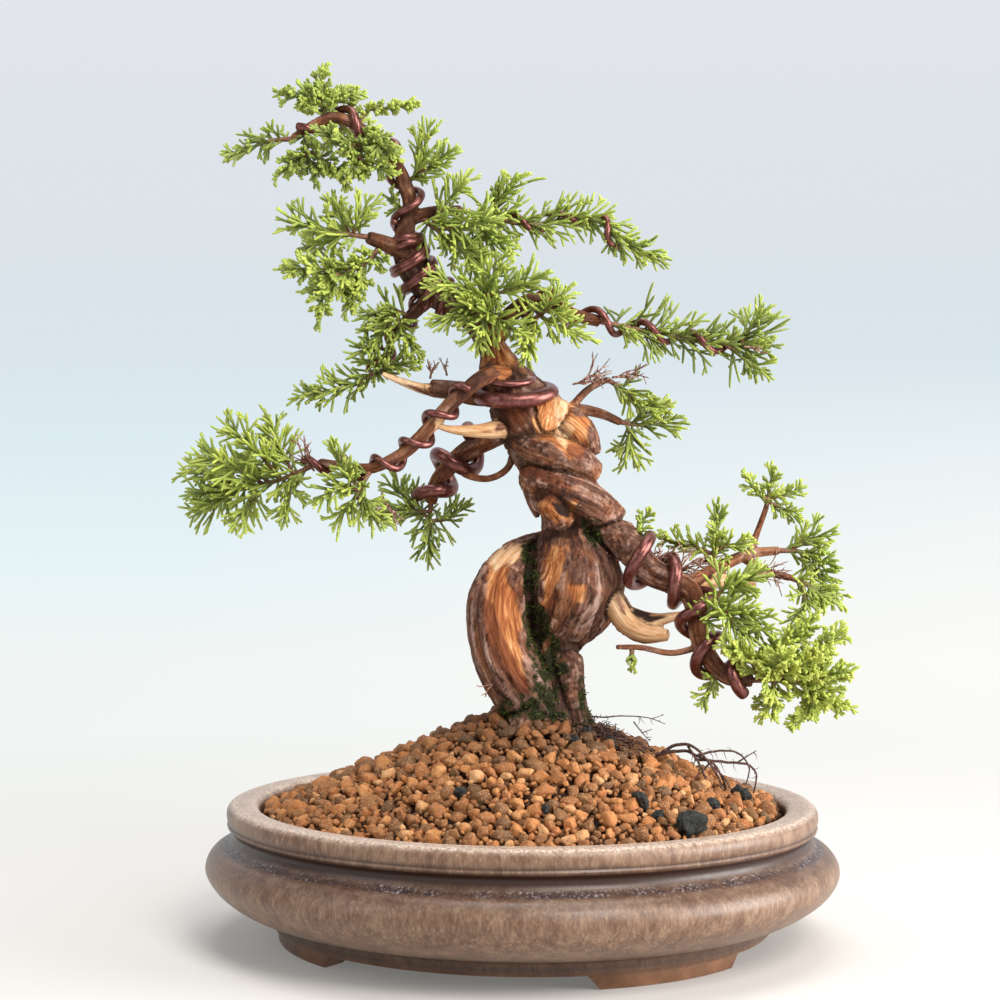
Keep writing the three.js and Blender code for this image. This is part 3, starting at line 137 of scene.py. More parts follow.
# Leafy sprays: the reach of the shoots, and the stems, as [across, up, deep] of points.
SPRAYS = {
    "apex_tip": (7, [[[-76, 265.4, -1], [-84, 264.6, -2], [-94, 260.6, -4]]]),
    "apex_crown": (7.5, [
        [[-64, 271, 0], [-66, 277, 0], [-66.4, 284.6, -1]],
        [[-65.4, 276, 0], [-71, 279, -3], [-76, 280, -5]], [[-65, 275, 0], [-60, 279.6, 3], [-57, 280, 4]],
        [[-66, 278, 1], [-68, 279.6, 7], [-71, 277, 12]],
    ]),
    "apex_front": (7.5, [
        [[-51, 268, 2], [-51.8, 264, -3], [-56, 255, -9]],
        [[-54.6, 263, -6], [-49, 265, -9], [-44.6, 261.6, -10]],
        [[-55, 260, -7], [-49.6, 256, -9], [-46, 255, -9]],
        [[-54.6, 263, -6], [-60, 263, -10], [-64, 266, -12]],
    ]),
    "apex_low": (7, [
        [[-71.6, 269.6, -1], [-71.4, 262, -4], [-69, 254, -6]],
        [[-70, 261, -4], [-75, 258, -6], [-78, 255.6, -7]],
        [[-70, 261, -4], [-64, 257, -5], [-60.6, 253, -5]],
    ]),
    "apex_back": (8, [
        [[-60, 272, 0], [-60, 269, 7], [-64, 265, 13]], [[-60, 269, 7], [-54, 267, 12], [-50, 264, 14]],
    ]),
    "apex_arm": (4.4, [[[-55, 269.6, 1], [-51, 275, 1], [-44, 275.6, 0], [-37, 276.6, -1]]]),
    "apex_fan": (8.5, [
        [[-38.6, 250, 1], [-34, 255, 0], [-31.6, 265, -2]],
        [[-34.6, 254, 0], [-29, 257, -3], [-26.6, 259, -4]],
    ]),
    "neck_sprig": (4.6, [[[-37.2, 242, 0], [-42, 243, 1], [-43, 247, 2]]]),
    "upper_left": (8, [
        [[-51, 232.6, -8], [-60, 234, -10], [-67, 235.6, -11], [-75, 237, -11]],
        [[-57, 233.6, -9], [-60, 239, -6], [-61, 241.6, -5]],
        [[-56, 233.6, -9], [-54.6, 237.6, -12], [-53, 240.6, -13]],
        [[-60, 234, -10], [-64, 231, -3], [-70, 229.6, 3]],
    ]),
    "upper_left_low": (8, [
        [[-46, 230.6, -5], [-52, 224, -9], [-60, 219.6, -14], [-66, 213, -16], [-66.6, 208.6, -16]],
        [[-54, 222.6, -10], [-54.6, 217, -10], [-56, 213, -10]],
        [[-60, 219.6, -14], [-68, 222, -17], [-75, 222, -18]],
        [[-54, 222.6, -10], [-62, 221, -3], [-68, 217, 2]],
    ]),
    "mid_left": (7.5, [
        [[-42.4, 199, 1], [-46.6, 191, 0], [-54, 184, -1], [-62, 182, -2], [-71, 180, -3]],
        [[-50, 187, -0.6], [-44, 189, -5], [-38, 190.6, -7]],
        [[-44.6, 195, 0], [-50, 196, -5], [-52.6, 195, -7]],
    ]),
    "mid_left_top": (7.5, [
        [[-37, 206, 2], [-42, 208, -1], [-48, 207, -3]],
        [[-41, 208, -1], [-46, 201.6, -7], [-48, 198.6, -8]],
        [[-41, 208, -1], [-40, 201, -7], [-37, 197, -9]],
    ]),
    "top_right": (9.5, [
        [[-20, 241.6, 3], [-8, 238.6, 5], [6, 236.6, 6], [20, 239.6, 7], [27, 237, 7], [33, 231, 5],
         [43, 227, 4]],
        [[-12, 239.6, 4], [-9, 244, 0], [-4, 248.6, -2]], [[-14, 240, 4], [-14, 236, -3], [-8, 231, -7]],
    ]),
    "top_right_low": (9, [
        [[-34, 239.6, 1], [-28, 235, -3], [-22, 230.6, -7], [-17, 226, -9]],
        [[-28, 235, -3], [-20, 236, -8], [-13, 237.6, -10]],
        [[-30, 236.6, -2], [-25, 243.6, -5], [-21, 249, -6]],
        [[-24, 232, -6], [-20, 228, 1], [-16, 226, 6]],
    ]),
    "middle": (8, [
        [[-6, 203, -2], [-11, 209, -7], [-12, 215, -11], [-8, 222, -14]],
        [[-12, 213, -10], [-19, 216, -13], [-26, 216, -15]],
        [[-11.6, 210, -8], [-19, 209, -12], [-24, 206, -13]],
        [[-12, 213, -10], [-4, 215, -14], [4, 218, -15]],
        [[-11, 208.6, -7], [-7, 205, -13], [-2, 202, -15]],
        [[-11.6, 210, -8], [-13, 203.6, -14], [-14, 198.6, -15]],
    ]),
    "middle_right": (8, [
        [[3, 211.4, -4], [7, 206, -8], [13, 203, -10], [19, 200.6, -11]],
        [[6, 207, -7], [3, 201, -11], [2, 196, -12]], [[6.6, 206.6, -8], [10, 210, -13], [13, 213, -15]],
    ]),
    "long_limb": (10, [
        [[26, 204.6, 2], [36, 202.4, 4], [48, 200.4, 5.6], [60, 197.6, 6], [72, 197, 5.6], [81.6, 196.4, 5]],
        [[73, 197, 5.6], [76, 202, 5], [79, 205.6, 4]], [[68, 197, 6], [75, 191.6, 6], [79, 188.6, 6]],
    ]),
    "right_back": (9.5, [
        [[33, 171, 24], [40, 170, 27], [48, 170.6, 29]], [[35, 170.6, 25], [37, 165, 26], [36, 161, 27]],
    ]),
    "right_back_top": (8, [[[28.8, 185.2, 17], [33.6, 182, 19], [39, 177.6, 21], [44, 176.6, 22]]]),
    "left_pad": (8.5, [
        [[-67, 157.6, -6], [-78, 152.6, -4], [-90, 149, -1], [-106, 147, 3]],
        [[-76, 154, -5], [-80, 161.6, -2], [-83, 169, 0]],
        [[-80, 152, -4], [-86, 159, -7], [-91, 164, -8], [-96, 168, -8]],
        [[-86, 150.4, -2], [-95, 155.6, -8], [-104, 158.6, -9]],
        [[-84, 151, -2.6], [-91, 156, 7], [-100, 159, 12]],
        [[-88, 149.4, -1.6], [-90, 144, -7], [-93, 140, -9]],
        [[-96, 148, 1], [-101, 143.6, 5], [-105, 141.6, 7]],
        [[-77, 153.2, -4.4], [-77, 147, -8], [-78, 141.6, -9]],
        [[-93, 148.6, 0], [-101, 152.6, 3], [-107, 154, 4]],
    ]),
    "left_inner": (7.5, [
        [[-50, 155.6, -10], [-54, 148, -13], [-59.6, 140, -14]],
        [[-54, 148, -13], [-60, 150, -16], [-65, 147, -17]],
        [[-55, 146.6, -13], [-51, 141, -13], [-49, 139, -13]],
        [[-53, 149, -13], [-58, 153, -17], [-61, 158.6, -18]],
    ]),
    "back_left": (8, [
        [[-30, 144, 16], [-30.6, 137, 17], [-30.6, 129, 17]],
        [[-30.4, 141, 16.6], [-37, 141.6, 14], [-44, 140.6, 13]],
        [[-30.6, 138, 17], [-24.6, 138.6, 19], [-21, 141, 20]],
        [[-30.4, 139, 16.8], [-37, 143, 21], [-41, 150, 23]],
    ]),
    "right_pad": (7.5, [
        [[77, 85, -21], [88, 84.6, -20], [97, 82.6, -20], [105.6, 77.6, -20]],
        [[80, 85.6, -21], [84, 92, -22], [90, 98, -23], [95, 103, -23]],
        [[84, 85, -20.6], [93, 89.6, -24], [101, 95, -25], [104, 99, -25]],
        [[92, 84, -20], [100, 86, -23], [106, 87, -24]], [[79, 85.4, -21], [77, 91, -26], [71, 95, -28]],
        [[82, 85, -20.6], [84, 89, -29], [88, 92, -34]], [[85, 85, -20.4], [92, 89, -13], [100, 93, -8]],
        [[84, 85, -20.6], [84.6, 79, -20], [83, 76, -20]], [[96, 83, -20], [98, 76, -19], [93.6, 73, -19]],
    ]),
    "right_middle": (8.5, [
        [[60.1, 104.6, -10], [63, 106.1, -17], [71, 109, -20], [79, 104.6, -21]],
        [[64, 111, -17.6], [68, 116, -19], [75, 118, -20]],
        [[68, 109.6, -19], [71, 104, -24], [76, 100, -26]],
    ]),
    "right_far": (8, [
        [[86, 128.2, 8], [94, 127.6, 9], [100, 125, 9]], [[90, 128.2, 8.6], [95, 131.6, 8], [99, 132.6, 8]],
        [[94, 127.4, 9], [100, 119, 10], [104, 114, 9]],
    ]),
    "right_far_low": (7.5, [
        [[90, 119, 2], [97, 116, 0], [102, 112.6, -1]], [[94, 117.6, 1], [94.6, 110, -3], [93, 105, -5]],
    ]),
    "right_riser": (5, [
        [[81.6, 142, 8], [82.6, 147, 8], [83.6, 153, 8]], [[82.2, 145, 8], [78, 148.6, 6], [76, 151, 6]],
        [[82.2, 145.6, 8], [88, 146.6, 10], [92, 148, 11]], [[82, 144.6, 8], [87.6, 142, 7], [91, 140, 7]],
    ]),
    "right_sprig": (5.4, [
        [[63, 121, -1], [64.6, 130, 0], [65.4, 140.6, 1]], [[64, 127, 0], [57, 129.6, 3], [49, 131.6, 4]],
        [[64.4, 128, 0], [70, 130, -2], [74, 130.6, -3]],
    ]),
    "coil_sprig": (4, [[[34.5, 130.5, -8.6], [39.85, 136, -6], [41.6, 139.6, -6]]]),
    "hanging_sprig": (3.4, [[[37, 95.8, -16], [37, 92, -16.6], [37.6, 89.6, -17]]]),
    "right_under": (5, [[[66, 88.6, -17.6], [63, 83, -20], [61, 79, -21]]]),
}

# ---------- geometry helpers ----------
SPAN_STEPS = 24  # samples of a path between two of its points
END_BULGE = 0.6  # how far a tube's end stands out, in steps between its rings
WHOLE_TURN = 2 * math.pi
NO_QUADS, NO_TRIS = np.zeros((0, 4), int), np.zeros((0, 3), int)


def seen(points):
    """Real points for [across, up, deep] on the sheet, carried out along the sight line."""
    points = np.atleast_2d(np.asarray(points, float))[:, :3]
    reach = 1 + points[:, 2] / -EYE[1]
    x = EYE[0] + (points[:, 0] - EYE[0]) * reach
    y = points[:, 2]
    z = EYE[2] + (points[:, 1] - EYE[2]) * reach
    return np.stack([x * COS - y * SIN, x * SIN + y * COS, z], axis=1)


def sheet_of(points):
    """[across, up, deep] on the sheet for real points: the way back from seen."""
    x = points[:, 0] * COS + points[:, 1] * SIN
    y = -points[:, 0] * SIN + points[:, 1] * COS
    reach = 1 + y / -EYE[1]
    across = EYE[0] + (x - EYE[0]) / reach
    up = EYE[2] + (points[:, 2] - EYE[2]) / reach
    return np.stack([across, up, y], axis=1)


def unit(vectors):
    """Vectors brought to length one."""
    return vectors / np.maximum(np.linalg.norm(vectors, axis=-1, keepdims=True), 1e-9)


def dot(first, second):
    return np.sum(first * second, axis=1)


def smooth(low, high, value):
    """0 at low, 1 at high, with an eased climb between them."""
    t = np.clip((value - low) / (high - low), 0, 1)
    return t * t * (3 - 2 * t)


def circle(sides):
    """The angles of corners spaced evenly round a ring."""
    return np.arange(sides) * 2 * math.pi / sides


class Path:
    """A smooth curve through points, walked by its length, with a frame carried along it."""

    def __init__(self, points, radii=None, samples=SPAN_STEPS):
        points = np.asarray(points, float)
        radii = np.ones(len(points)) if radii is None else np.asarray(radii, float)
        chain = np.vstack([2 * points[0] - points[1], points, 2 * points[-1] - points[-2]])
        places, widths = [], []
        t = np.linspace(0, 1, samples, endpoint=False)[:, None]
        for k in range(len(points) - 1):
            a, b, c, d = chain[k : k + 4]
            p, q, r = (max(np.sum((v - u) ** 2) ** 0.25, 1e-4) for u, v in ((a, b), (b, c), (c, d)))
            m = ((b - a) / p - (c - a) / (p + q) + (c - b) / q) * q
            n = ((c - b) / q - (d - b) / (q + r) + (d - c) / r) * q
            bend = (-3 * b + 3 * c - 2 * m - n) * t**2 + (2 * b - 2 * c + m + n) * t**3
            places.append(b + m * t + bend)
            widths.append(radii[k] + (radii[k + 1] - radii[k]) * t[:, 0])
        self.places = np.vstack(places + [points[-1:]])
        self.widths = np.concatenate(widths + [radii[-1:]])
        steps = np.linalg.norm(np.diff(self.places, axis=0), axis=1)
        self.walk = np.concatenate([[0], np.cumsum(steps)])
        self.length = self.walk[-1]
        self.carry_frame()

    def carry_frame(self):
        """Carries a side along the curve with as little turning as it can."""
        tangents = unit(np.gradient(self.places, axis=0))
        first = tangents[0]
        axis = np.eye(3)[2 - int(np.argmin(np.abs(first)[::-1]))]
        side = unit(np.cross(first, np.cross(first, axis)))
        normals = [side]
        for after in tangents[1:]:
            side = side - after * np.dot(side, after)
            side = side / max(np.linalg.norm(side), 1e-9)
            normals.append(side)
        self.tangents = tangents
        self.normals = np.array(normals)
        self.binormals = np.cross(tangents, self.normals)

    def at(self, part):
        """Place, width, tangent, normal and binormal at parts (0 to 1) of the length."""
        want = np.clip(np.atleast_1d(part), 0, 1) * self.length

        def pick(field):
            return np.stack([np.interp(want, self.walk, c) for c in field.T], axis=1)

        ways = (unit(pick(field)) for field in (self.tangents, self.normals, self.binormals))
        return pick(self.places), np.interp(want, self.walk, self.widths), *ways


def tube_faces(rings, sides):
    """Quads round a tube of rings, then a cap point at each end: corner ids."""
    i, k = np.meshgrid(np.arange(rings - 1), np.arange(sides), indexing="ij")
    a = i * sides + k
    b = i * sides + (k + 1) % sides
    quads = np.stack([a, b, b + sides, a + sides], axis=-1).reshape(-1, 4)
    start = rings * sides
    top = (rings - 1) * sides
    k = np.arange(sides)
    low = np.stack([np.full(sides, start), (k + 1) % sides, k], axis=1)
    high = np.stack([np.full(sides, start + 1), top + k, top + (k + 1) % sides], axis=1)
    return quads, np.vstack([low, high])


def tube(path, count, sides, round_end=True, wobble=None):
    """Corners and faces of a closed tube along a path."""
    parts = np.linspace(0, 1, count)
    places, widths, _, normals, binormals = path.at(parts)
    radius = np.repeat(widths[:, None], sides, axis=1)
    if wobble is not None:
        radius = radius * wobble(parts, circle(sides))
    angle = circle(sides)[None, :, None]
    ring = normals[:, None] * np.cos(angle) + binormals[:, None] * np.sin(angle)
    corners = places[:, None] + ring * radius[..., None]
    ends = np.stack([places[0], places[-1]])
    if round_end:
        ends = ends + np.stack([places[0] - places[1], places[-1] - places[-2]]) * END_BULGE
    return np.vstack([corners.reshape(-1, 3), ends]), *tube_faces(count, sides)


class Soup:
    """Collects closed bodies and their per-corner values, and makes one mesh object of them."""

    def __init__(self):
        self.corners, self.quads, self.tris, self.values = [], [NO_QUADS], [NO_TRIS], {}
        self.count = 0

    def add(self, corners, quads=NO_QUADS, tris=NO_TRIS, **values):
        for name, value in values.items():
            value = np.broadcast_to(np.asarray(value, float), (len(corners),))
            self.values.setdefault(name, []).append(value)
        self.corners.append(corners)
        self.quads.append(quads + self.count)
        self.tris.append(tris + self.count)
        self.count += len(corners)

    def build(self, name):
        values = {key: np.concatenate(each) for key, each in self.values.items()}
        return make_mesh(name, *map(np.vstack, (self.corners, self.quads, self.tris)), **values)


def make_mesh(name, corners, quads, tris, **values):
    mesh = bpy.data.meshes.new(name)
    loops = np.concatenate([quads.ravel(), tris.ravel()]).astype(np.int32)
    starts = np.concatenate([np.arange(len(quads)) * 4, len(quads) * 4 + np.arange(len(tris)) * 3])
    mesh.vertices.add(len(corners))
    mesh.vertices.foreach_set("co", (corners * MM).astype(np.float32).ravel())
    mesh.loops.add(len(loops))
    mesh.loops.foreach_set("vertex_index", loops)
    mesh.polygons.add(len(starts))
    mesh.polygons.foreach_set("loop_start", starts.astype(np.int32))
    mesh.update(calc_edges=True)
    mesh.validate()
    shade_smooth(mesh)
    for key, value in values.items():
        write_value(mesh, key, value)
    piece = bpy.data.objects.new(name, mesh)
    bpy.context.scene.collection.objects.link(piece)
    return piece


def shade_smooth(mesh):
    mesh.polygons.foreach_set("use_smooth", np.ones(len(mesh.polygons), bool))


def write_value(mesh, key, value):
    """Keeps a number or a vector for every corner, which the materials read by its name."""
    kind, field = ("FLOAT_VECTOR", "vector") if value.ndim == 2 else ("FLOAT", "value")
    layer = mesh.attributes.new(key, kind, "POINT")
    layer.data.foreach_set(field, value.astype(np.float32).ravel())


def corner_field(mesh, field):
    """The place or the normal of every corner, in the mesh's own unit."""
    flat = np.zeros(len(mesh.vertices) * 3, np.float32)
    mesh.vertices.foreach_get(field, flat)
    return flat.reshape(-1, 3).astype(float)


def baked(piece):
    """Works a piece's modifiers into its mesh."""
    graph = bpy.context.evaluated_depsgraph_get()
    mesh = bpy.data.meshes.new_from_object(piece.evaluated_get(graph))
    piece.modifiers.clear()
    piece.data = mesh


def dress(piece, material, replaces=None):
    """Gives a piece its one material, and says where it belongs."""
    piece.data.materials.clear()
    piece.data.materials.append(material)
    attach(piece, "root")
    if replaces:
        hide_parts(replaces)


# ---------- seeded noise ----------
def lattice(cells, seed):
    """A number of its own from -1 to 1 for every cell of whole coordinates."""
    x, y, z = (cells[..., i].astype(np.int64) for i in range(3))
    mixed = (x * 374761393 + y * 668265263 + z * 2147483647 + seed * 974634777) & 0xFFFFFFFF
    mixed = ((mixed ^ (mixed >> 13)) * 1274126177) & 0xFFFFFFFF
    return ((mixed ^ (mixed >> 16)) & 0xFFFF) / 32767.5 - 1


def noise(points, seed):
    """Smooth noise from about -1 to 1 at points, one cell per unit."""
    cell = np.floor(points)
    part = points - cell
    part = part * part * (3 - 2 * part)
    total = np.zeros(points.shape[:-1])
    for corner in np.ndindex(2, 2, 2):
        weight = np.prod(np.where(np.array(corner) == 1, part, 1 - part), axis=-1)
        total += weight * lattice(cell + np.array(corner), seed)
    return total


def rough_noise(points, seed, octaves=3):
    """Noise with finer noise on it, each layer half as big and half as strong as the one before."""
    return sum(noise(points * 2.0**k + 7.3 * k, seed + k) * 0.5**k for k in range(octaves))


def plates(points, seed):
    """Cells round scattered seeds: the gap to the nearest border, and a number of its own per cell."""
    cell = np.floor(points).astype(np.int64)
    first = np.full(len(points), 9.0)
    second = np.full(len(points), 9.0)
    own = np.zeros(len(points))
    for step in np.ndindex(3, 3, 3):
        near = cell + np.array(step) - 1
        jitter = np.stack([lattice(near, seed + k) for k in range(3)], axis=-1) * 0.42 + 0.5
        gap = np.linalg.norm(near + jitter - points, axis=1)
        closer = gap < first
        second = np.where(closer, first, np.minimum(second, gap))
        own = np.where(closer, lattice(near, seed + 5) * 0.5 + 0.5, own)
        first = np.minimum(first, gap)
    return second - first, own

# ---------- materials ----------
MIX_FIRST, MIX_SECOND, MIX_RESULT = 6, 7, 2  # the colour sockets of a mix node
GLAZE_ENDS = (5.0, 4.2)  # the heights between which the pot's glaze gives way to clay


def rgb(red, green, blue):
    """A linear colour for 0 to 255 screen values."""
    part = np.array([red, green, blue]) / 255
    linear = np.where(part <= 0.04045, part / 12.92, ((part + 0.055) / 1.055) ** 2.4)
    return (*linear.tolist(), 1.0)


class Shader:
    """A node-built material; the methods add nodes and return their output sockets."""

    def __init__(self, name, **sockets):
        self.material = bpy.data.materials.new(name)
        self.material.use_nodes = True
        self.tree = self.material.node_tree
        self.surface = self.tree.nodes["Principled BSDF"]
        self.fill(self.surface, **sockets)

    def node(self, kind, **settings):
        node = self.tree.nodes.new("ShaderNode" + kind)
        for key, value in settings.items():
            setattr(node, key, value)
        return node

    def feed(self, socket, value):
        if isinstance(value, bpy.types.NodeSocket):
            self.tree.links.new(value, socket)
        elif value is not None:
            socket.default_value = value

    def fill(self, node, **inputs):
        for key, value in inputs.items():
            self.feed(node.inputs[key.replace("_", " ")], value)

    def here(self):
        return self.node("TexCoord").outputs["Object"]

    def place(self, sizes=1.0):
        """Object coordinates in millimetres over a size, or over a size per axis."""
        mapping = self.node("Mapping")
        self.fill(mapping, Vector=self.here(), Scale=1000 / (np.ones(3) * sizes))
        return mapping.outputs["Vector"]

    def axes(self, vector):
        node = self.node("SeparateXYZ")
        self.feed(node.inputs[0], vector)
        return node.outputs

    def value(self, name, output="Fac"):
        return self.node("Attribute", attribute_name=name).outputs[output]

    def noise(self, vector, detail=3.0, roughness=0.55, scale=1.0, distortion=0.0):
        node = self.node("TexNoise")
        self.fill(node, Vector=vector, Scale=scale, Detail=detail)
        self.fill(node, Roughness=roughness, Distortion=distortion)
        return node.outputs["Fac"]

    def grain(self, sizes, detail=3.0, roughness=0.55):
        """Noise whose grains have a size in millimetres, or a size per axis."""
        return self.noise(self.place(sizes), detail, roughness)

    def ramp(self, value, *stops):
        """A colour for a value: each stop is its place with red, green and blue from 0 to 255."""
        node = self.node("ValToRGB")
        elements = node.color_ramp.elements
        while len(elements) < len(stops):
            elements.new(0.5)
        for element, (place, *colour) in zip(elements, stops):
            element.position = place
            element.color = rgb(*colour)
        self.fill(node, Fac=value)
        return node.outputs["Color"]

    def grade(self, value, low, high, start=0.0, end=1.0):
        """A value carried from low..high to start..end, clamped."""
        node = self.node("MapRange")
        self.fill(node, Value=value, From_Min=low, From_Max=high, To_Min=start, To_Max=end)
        return node.outputs["Result"]

    def math(self, operation, first, second):
        node = self.node("Math", operation=operation)
        self.feed(node.inputs[0], first)
        self.feed(node.inputs[1], second)
        return node.outputs["Value"]

    def add(self, first, second):
        return self.math("ADD", first, second)

    def times(self, first, second):
        return self.math("MULTIPLY", first, second)

    def swayed(self, value, other, share):
        """A value with a share of another's swing round a half."""
        return self.add(value, self.times(self.math("SUBTRACT", other, 0.5), share))

    def mix(self, factor, first, second):
        node = self.node("Mix", data_type="RGBA")
        self.fill(node, Factor=factor)
        self.feed(node.inputs[MIX_FIRST], first)
        self.feed(node.inputs[MIX_SECOND], second)
        return node.outputs[MIX_RESULT]

    def bump(self, height, distance, strength=1.0):
        node = self.node("Bump")
        self.fill(node, Strength=strength, Distance=distance * MM, Height=height)
        return node.outputs["Normal"]

    def finish(self, colour, roughness=None, normal=None):
        self.fill(self.surface, Base_Color=colour, Roughness=roughness, Normal=normal)
        return self.material


def glaze_material():
    s = Shader("glaze", Specular_IOR_Level=0.45, Coat_Weight=0.12, Coat_Roughness=0.3)
    streaks = s.grain((2.6, 2.6, 9), 5.0, 0.62)
    flecks = s.grain((0.75, 0.75, 2.6), 3.0, 0.6)
    mottle = s.grain(9, 4.0, 0.6)
    specks = s.grain((0.9, 0.9, 1.4), 2.0, 0.6)
    grain = s.add(s.times(streaks, 0.62), s.times(mottle, 0.38))
    body = s.ramp(
        grain, (0.34, 92, 65, 48), (0.46, 114, 85, 66), (0.55, 132, 103, 82), (0.68, 154, 126, 103)
    )
    body = s.mix(s.grade(flecks, 0.54, 0.72, 0, 0.42), body, rgb(190, 158, 130))
    body = s.mix(s.grade(flecks, 0.46, 0.32, 0, 0.5), body, rgb(76, 52, 39))
    pale = s.ramp(specks, (0.34, 136, 112, 96), (0.5, 196, 174, 156), (0.7, 236, 220, 206))
    # Paler glaze where it runs thin on an edge, and a painted highlight over the rim's top.
    body = s.mix(s.grade(s.swayed(s.value("edge"), mottle, 0.5), 0.25, 1.05), body, pale)
    # Darker where the glaze pools, as in the foot band, and painted shade under the rim.
    body = s.mix(s.grade(s.value("pooled_glaze_and_shade"), 0.0, 1.0), body, rgb(46, 22, 11))
    ink = s.ramp(specks, (0.42, 28, 20, 24), (0.56, 62, 46, 46), (0.7, 172, 160, 164))
    body = s.mix(s.times(s.value("ink"), s.grade(mottle, 0.38, 0.56, 0.25, 1.0)), body, ink)
    # Clay shows bare under the pot, and on its feet below the lowest glaze.
    clay = s.math("MAXIMUM", s.value("bare"), s.grade(s.axes(s.place())["Z"], *GLAZE_ENDS))
    body = s.mix(clay, body, s.ramp(mottle, (0.3, 88, 56, 36), (0.7, 134, 92, 62)))
    relief = s.add(s.times(flecks, 0.4), s.times(specks, 0.4))
    return s.finish(body, s.grade(grain, 0.35, 0.65, 0.36, 0.5), s.bump(relief, 0.2, 0.5))


def netting_material():
    s = Shader("netting", Specular_IOR_Level=0.4)
    dust = s.grain(4, 4.0)
    colour = s.ramp(dust, (0.35, 28, 30, 29), (0.6, 52, 52, 48), (0.75, 110, 82, 60))
    return s.finish(colour, s.grade(dust, 0.3, 0.7, 0.5, 0.8), s.bump(dust, 0.15))


def granule_material():
    s = Shader("granules", Specular_IOR_Level=0.35)
    fine = s.grain(0.55, 4.0, 0.65)
    broad = s.grain(2.6)
    colour = s.ramp(
        s.swayed(s.value("tint"), broad, 0.5), (0.0, 98, 68, 40), (0.14, 118, 78, 42), (0.3, 140, 90, 48),
        (0.5, 154, 98, 54), (0.7, 172, 106, 54), (0.9, 184, 124, 70), (1.0, 204, 154, 106),
    )
    # Pale specks: dust, and a painted sheen of highlights on the grains.
    colour = s.mix(s.grade(fine, 0.53, 0.72, 0, 0.6), colour, rgb(222, 186, 146))
    colour = s.mix(s.grade(fine, 0.45, 0.32, 0, 0.6), colour, rgb(96, 54, 28))
    # Darker deep in the soil: painted shade in the gaps between grains, and round the trunk.
    colour = s.mix(s.value("deep"), colour, rgb(40, 17, 6))
    colour = s.mix(s.value("char"), colour, s.ramp(fine, (0.4, 14, 15, 14), (0.7, 58, 58, 52)))
    relief = s.add(fine, s.times(broad, 0.6))
    return s.finish(colour, 0.66, s.bump(relief, 0.45, 0.9))


def bark_material():
    s = Shader("bark", Specular_IOR_Level=0.25)
    fibre = s.value("fibre", "Vector")
    strands = s.noise(fibre, 5.0, 0.62, distortion=0.3)
    coarse = s.noise(fibre, scale=0.35, distortion=0.4)
    grain = s.add(s.times(strands, 0.6), s.times(coarse, 0.4))
    flake = s.grain((1.8, 1.8, 2.8), 4.0, 0.6)
    tone = s.add(s.times(grain, 0.44), s.times(flake, 0.3))
    tone = s.add(tone, s.times(s.value("own"), 0.26))
    bark = s.ramp(tone, (0.32, 40, 22, 16), (0.43, 86, 54, 42), (0.54, 128, 92, 76), (0.65, 184, 152, 138))
    red = s.ramp(tone, (0.32, 62, 29, 17), (0.5, 122, 71, 44), (0.68, 184, 128, 92))
    bark = s.mix(s.grade(s.add(s.grain(6), s.value("warm")), 0.48, 0.74), bark, red)
    raw = s.ramp(
        grain, (0.32, 90, 40, 19), (0.43, 138, 75, 37), (0.54, 184, 120, 70), (0.66, 230, 182, 132)
    )
    rust = s.ramp(grain, (0.35, 66, 28, 14), (0.65, 132, 68, 36))
    pale = s.ramp(grain, (0.3, 148, 94, 56), (0.46, 206, 158, 112), (0.66, 238, 204, 168))
    moss = s.ramp(s.grain(0.8), (0.35, 22, 20, 12), (0.55, 40, 40, 20), (0.75, 74, 78, 32))
    colour = s.mix(s.value("raw"), bark, raw)
    colour = s.mix(s.times(s.value("rust"), 0.85), colour, rust)
    colour = s.mix(s.value("pale"), colour, pale)
    # Painted shade in cracks, creases and hollows, with bark that darkens higher up.
    colour = s.mix(s.value("dark"), colour, rgb(44, 26, 18))
    colour = s.mix(s.value("moss"), colour, moss)
    relief = s.add(strands, s.times(coarse, 0.7))
    return s.finish(colour, s.grade(grain, 0.3, 0.7, 0.9, 0.68), s.bump(relief, 0.7, 0.9))


def wire_material():
    s = Shader("wire", Metallic=0.82, Specular_IOR_Level=0.5, Coat_Weight=0.15, Coat_Roughness=0.2)
    scuffs = s.grain(1.6, 4.0, 0.6)
    colour = s.ramp(scuffs, (0.3, 102, 56, 50), (0.5, 122, 73, 67), (0.72, 148, 98, 92))
    colour = s.mix(s.grade(s.grain(12, 2.0), 0.45, 0.7, 0, 0.4), colour, rgb(86, 45, 43))
    return s.finish(colour, s.grade(scuffs, 0.3, 0.7, 0.3, 0.42), s.bump(scuffs, 0.02, 0.4))


def leaf_material():
    s = Shader("foliage", Specular_IOR_Level=0.45, Subsurface_Weight=0.12, Subsurface_Scale=0.0012)
    s.fill(s.surface, Subsurface_Radius=(0.5, 1.0, 0.25))
    scales = s.grain(0.55, 2.0, 0.5)
    shade = s.swayed(s.swayed(s.value("tip"), scales, 0.5), s.value("tint"), 0.35)
    colour = s.ramp(
        shade, (0.0, 72, 76, 32), (0.25, 108, 120, 50), (0.55, 150, 164, 72), (0.85, 180, 192, 84),
        (1.0, 194, 202, 100),
    )
    colour = s.mix(s.value("woody"), colour, s.ramp(scales, (0.35, 92, 52, 38), (0.65, 150, 98, 74)))
    return s.finish(colour, 0.5, s.bump(scales, 0.25, 0.7))


def plain_material(name, specular, sizes, detail, roughness, dull, relief, *stops):
    """A dull material of one noise and one ramp."""
    s = Shader(name, Specular_IOR_Level=specular)
    fine = s.grain(sizes, detail, roughness)
    return s.finish(s.ramp(fine, *stops), dull, s.bump(fine, relief))


